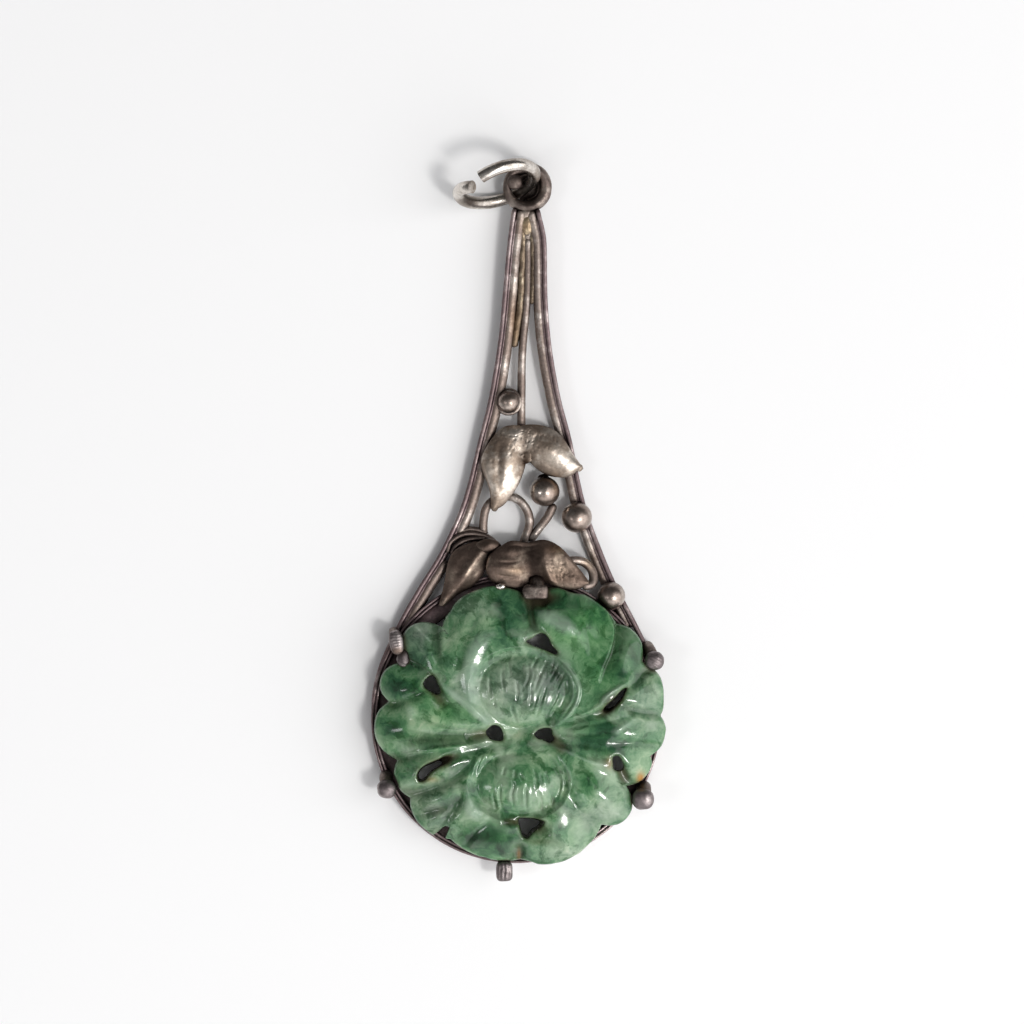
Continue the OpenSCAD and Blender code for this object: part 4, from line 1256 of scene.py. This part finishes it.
def makeStone():
    cells = stone["cells"]
    side = np.linspace(-1, 1, cells + 1)
    a, b = (g.ravel() for g in np.meshgrid(side, side))
    wide = np.abs(a) > np.abs(b)
    radius = np.where(wide, a, b)
    with np.errstate(divide="ignore", invalid="ignore"):
        turn = np.where(wide, math.pi / 4 * np.nan_to_num(b / a),
            math.pi / 2 - math.pi / 4 * np.nan_to_num(a / b))
    x, y = radius * np.cos(turn), radius * np.sin(turn)
    angle = np.arctan2(y, x)
    ragged = [max(0, noise.noise(Vector((7 * math.cos(t), 7 * math.sin(t), 2.0)))) for t in angle]
    direction, half, depth = stone["notch"]
    notch = depth * np.exp(-((np.degrees(angle) - direction) / half) ** 4)
    reach = reachAt(np.degrees(angle)) - stone["edgeRound"] - stone["ragged"] * np.array(ragged) - notch
    share = np.hypot(x, y)
    # inside, the grid follows an evened outline, so that it has no kinks
    near = np.clip((share - 0.7) / 0.3, 0, 1) ** 2
    reach = reach * near + (evened(reachAt)(np.degrees(angle)) - stone["edgeRound"]) * (1 - near)
    xy = np.stack([stone["centre"][0] + share * reach * np.cos(angle),
        stone["centre"][1] + share * reach * np.sin(angle)], 1)

    # the places nearest to a piercing's edge move onto it
    outlines = [closedOutline(points) for points in pierced.values()]
    onEdge = np.zeros(len(xy), bool)
    cell = 2 * 15 / cells
    for outline in outlines:
        away, foot = toOutline(xy, outline)
        snap = np.abs(away) < 0.5 * cell
        xy[snap] = foot[snap]
        onEdge |= snap

    row = cells + 1
    i, j = (g.ravel() for g in np.meshgrid(np.arange(cells), np.arange(cells)))
    p0, p1, p2, p3 = j * row + i, j * row + i + 1, (j + 1) * row + i + 1, (j + 1) * row + i
    other = (onEdge[p1] & onEdge[p3]) & ~(onEdge[p0] & onEdge[p2])
    first = np.where(other[:, None], np.stack([p0, p1, p3], 1), np.stack([p0, p1, p2], 1))
    second = np.where(other[:, None], np.stack([p1, p2, p3], 1), np.stack([p0, p2, p3], 1))
    faces = np.concatenate([first, second])
    middle = xy[faces].mean(1)
    keep = np.ones(len(faces), bool)
    for outline in outlines:
        keep &= ~insideOutline(middle, outline)
    # a lone cell beside a piercing goes with the cells round it
    borders = np.sort(faces[:, [[0, 1], [1, 2], [2, 0]]], axis=2) @ [1, len(xy)]
    for kept in (False, True):
        names, uses = np.unique(borders[keep == kept], return_counts=True)
        keep[(keep == kept) & ~np.isin(borders, names[uses > 1]).any(1)] = not kept
    faces = faces[keep]

    z = stoneHeight(xy, outlines)
    points = np.column_stack([xy, z])

    # rounded edge and side wall, from the rim of the grid down to the flat back
    onward, back = np.arange(cells), np.arange(cells, 0, -1)
    rim = np.concatenate([onward, onward * row + cells, cells * row + back, back * row])
    direction = angle[rim]
    top = points[rim]
    outward = np.stack([np.cos(direction), np.sin(direction)], 1)
    rounding = stone["edgeRound"]
    rings = [(rounding * math.sin(t), rounding * (1 - math.cos(t)) * 0.9)
        for t in np.radians([18, 36, 54, 72, 90])]
    wall = []
    for out, down in rings:
        wall.append(np.column_stack([top[:, :2] + outward * out, top[:, 2] - down - out * 0.35]))
    edge = wall[-1]
    low = stone["seat"]
    for share, inset in stone["wall"]:
        height = edge[:, 2] * (1 - share) + low * share
        wall.append(np.column_stack([edge[:, :2] - outward * inset, height]))
    count = len(rim)
    base = len(points)
    points = np.concatenate([points] + wall)
    sides = []
    rows = [rim] + [base + k * count + np.arange(count) for k in range(len(wall))]
    for upper, lower in zip(rows, rows[1:]):
        sides.append(np.stack([upper, lower, np.roll(lower, -1), np.roll(upper, -1)], 1))
    mesh = bpy.data.meshes.new("jadeStone")
    mesh.from_pydata(points.tolist(), [], faces.tolist() + np.concatenate(sides).tolist())
    mesh.update()

    shape = bmesh.new()
    shape.from_mesh(mesh)
    bmesh.ops.delete(shape, geom=[v for v in shape.verts if not v.link_faces], context="VERTS")
    bmesh.ops.remove_doubles(shape, verts=shape.verts, dist=stone["mergeWithin"])
    rimEdges = [e for e in shape.edges if e.is_boundary and min(v.co.z for v in e.verts) > low + 0.3]
    centres = np.array([outline.mean(0) for outline in outlines])
    slants = [(fromPhoto([place])[0], share) for place, share in pierceSlant.values()]
    for drop in (0.45, 0.8, 1.0):
        made = bmesh.ops.extrude_edge_only(shape, edges=rimEdges)["geom"]
        for vert in (g for g in made if isinstance(g, bmesh.types.BMVert)):
            place, share = slants[int(np.argmin(np.linalg.norm(centres - vert.co[:2], axis=1)))]
            vert.co.x, vert.co.y = place + (np.array(vert.co[:2]) - place) * share ** (1 / 3)
            vert.co.z = vert.co.z + (low - vert.co.z) * drop
        rimEdges = [g for g in made if isinstance(g, bmesh.types.BMEdge) and g.is_boundary]
    # the flat back, open at the piercings
    bottomEdges = [e for e in shape.edges if e.is_boundary]
    bottom = list(dict.fromkeys(v for e in bottomEdges for v in e.verts))
    number = {v: k for k, v in enumerate(bottom)}
    ends = [tuple(number[v] for v in e.verts) for e in bottomEdges]
    flat = [v.co.xy for v in bottom]
    places, lines, triangles, given = geometry.delaunay_2d_cdt(flat, ends, [], 1, 1e-6)[:4]
    places, triangles = np.array(places), np.array(triangles)
    outside = np.array([[bottom[k].co.xy for k in pair] for pair in ends])
    solid = insideEdges(places[triangles].mean(1), outside[:, 0], outside[:, 1])
    corners = [bottom[old[0]] if old else shape.verts.new((*xy, low)) for xy, old in zip(places, given)]
    for triangle in triangles[solid]:
        shape.faces.new([corners[k] for k in triangle])
    bmesh.ops.recalc_face_normals(shape, faces=shape.faces)
    shape.to_mesh(mesh)
    openLeft = sum(1 for e in shape.edges if not e.is_manifold)
    shape.free()

    place = np.empty(len(mesh.vertices) * 3)
    mesh.vertices.foreach_get("co", place)
    mesh.vertices.foreach_set("co", place * mm)
    setMarks(mesh, jadePatches)
    xy = place.reshape(-1, 3)[:, :2]
    for key, values in (("cutLines", carvedLines(xy) / 0.3), ("earthAndShade", earthAndShadeAt(xy, outlines))):
        mesh.attributes.new(key, "FLOAT", "POINT").data.foreach_set("value", values)
    mesh.update()
    mesh.shade_smooth()
    mesh.materials.append(jadeFinish())
    finishPiece(addObject("jadeStone", mesh), "jade_flower")
    print("stone done", len(mesh.polygons), "faces, open edges", openLeft)


def jadeFinish():
    # polished jadeite: mottled green, slightly see-through, with brown earth and painted shade in the
    # piercings and creases
    material = bpy.data.materials.new("polishedJadeite")
    material.use_nodes = True
    tree = material.node_tree
    shader = tree.nodes["Principled BSDF"]
    for name, value in (("IOR", 1.60), ("Specular IOR Level", 0.38), ("Subsurface Weight", 0.07),
        ("Subsurface Scale", 0.5 * mm), ("Subsurface Radius", (0.6, 1.0, 0.6))):
        shader.inputs[name].default_value = value
    place = addNode(tree, "ShaderNodeTexCoord").outputs["Object"]
    given = readMarks(tree, [*jadePatches, "cutLines", "earthAndShade"])
    # a coarse noise bends the pattern
    bendy = addNode(tree, "ShaderNodeTexNoise",
        {"Vector": place, "Scale": 1 / (2.6 * mm), "Detail": 3.0}).outputs["Color"]
    bendy = addNode(tree, "ShaderNodeVectorMath",
        {"operation": "SUBTRACT", 0: bendy, 1: (0.5, 0.5, 0.5)}).outputs[0]
    bendy = addNode(tree, "ShaderNodeVectorMath",
        {"operation": "SCALE", 0: bendy, "Scale": 2.8 * mm}).outputs[0]
    warped = addNode(tree, "ShaderNodeVectorMath", {"operation": "ADD", 0: place, 1: bendy}).outputs[0]
    total = addMath(tree, "MULTIPLY_ADD", addNoise(tree, warped, 2.2, 6.0, 0.62), 2.1, -1.10)
    total = addMath(tree, "MULTIPLY_ADD", addNoise(tree, warped, 0.5, 4.0, 0.65), 0.70, total)
    total = addRange(tree, addMath(tree, "ADD", total, given["tone"]), -0.8, 1.25)
    greens = addRamp(tree, total, [(0.05, "#16301f"), (0.3, "#2c5439"), (0.5, "#507b55"), (0.7, "#809e7b"),
        (0.95, "#b2be9f")])
    # dark green blotches with clear edges, and soft pale clouds
    blots = addRange(tree, addNoise(tree, warped, 1.7, 5.0, 0.62), 0.52, 0.60, last=0.70)
    greens = addMix(tree, blots, greens, "#659d70", "MULTIPLY")
    mist = addNoise(tree, warped, 3.0, 4.0, noise_dimensions="4D", W=3.0)
    mist = addRange(tree, mist, 0.50, 0.66, last=0.55)
    mist = addMath(tree, "MULTIPLY", mist, addRange(tree, given["tone"], -0.7, -0.05))
    greens = addMix(tree, mist, greens, "#a3b59d")
    lively = addMix(tree, given["emerald"], greens, "#83cc8d", "MULTIPLY")
    greyish = addNode(tree, "ShaderNodeHueSaturation",
        {"Color": lively, "Saturation": 0.40, "Value": 1.0}).outputs[0]
    colour = addMix(tree, given["grey"], lively, greyish)
    # brown stains and painted shade in the creases, notches and beside the piercings
    colour = addMix(tree, given["stainAndShade"], colour, "#8a7350", "MULTIPLY")
    # painted shade darkens the cut lines, and a painted highlight makes the ridges paler
    deep = addRange(tree, given["cutLines"], 0.1, 1.2, last=0.55)
    colour = addMix(tree, deep, colour, "#4f6a58", "MULTIPLY")
    raised = addRange(tree, given["cutLines"], -0.1, -0.9, last=0.35)
    colour = addMix(tree, raised, colour, "#b4c6b6")
    colour = addMix(tree, given["rust"], colour, "#b07a38")
    # old earth and painted shade in the piercings and grooves, then painted shade in the creases and
    # corners
    colour = addMix(tree, given["earthAndShade"], colour, "#575039")
    # painted shade: darker in the creases and corners, from the occlusion
    earthAndShade = addRange(tree, cornerShade(tree, 1.3), 0.35, 0.80, 0.85, 0.0)
    colour = addMix(tree, earthAndShade, colour, "#4a4433")
    rough = addRange(tree, earthAndShade, 0.0, 1.0, 0.13, 0.55)
    setShader(tree, colour, rough, addNoise(tree, place, 0.16, 2.0), 0.18, 0.02)
    return material


makeStone()

made = [o for o in bpy.data.objects if o.type == "MESH"]
print("triangles:", {o.name: sum(len(p.vertices) - 2 for p in o.data.polygons) for o in made})
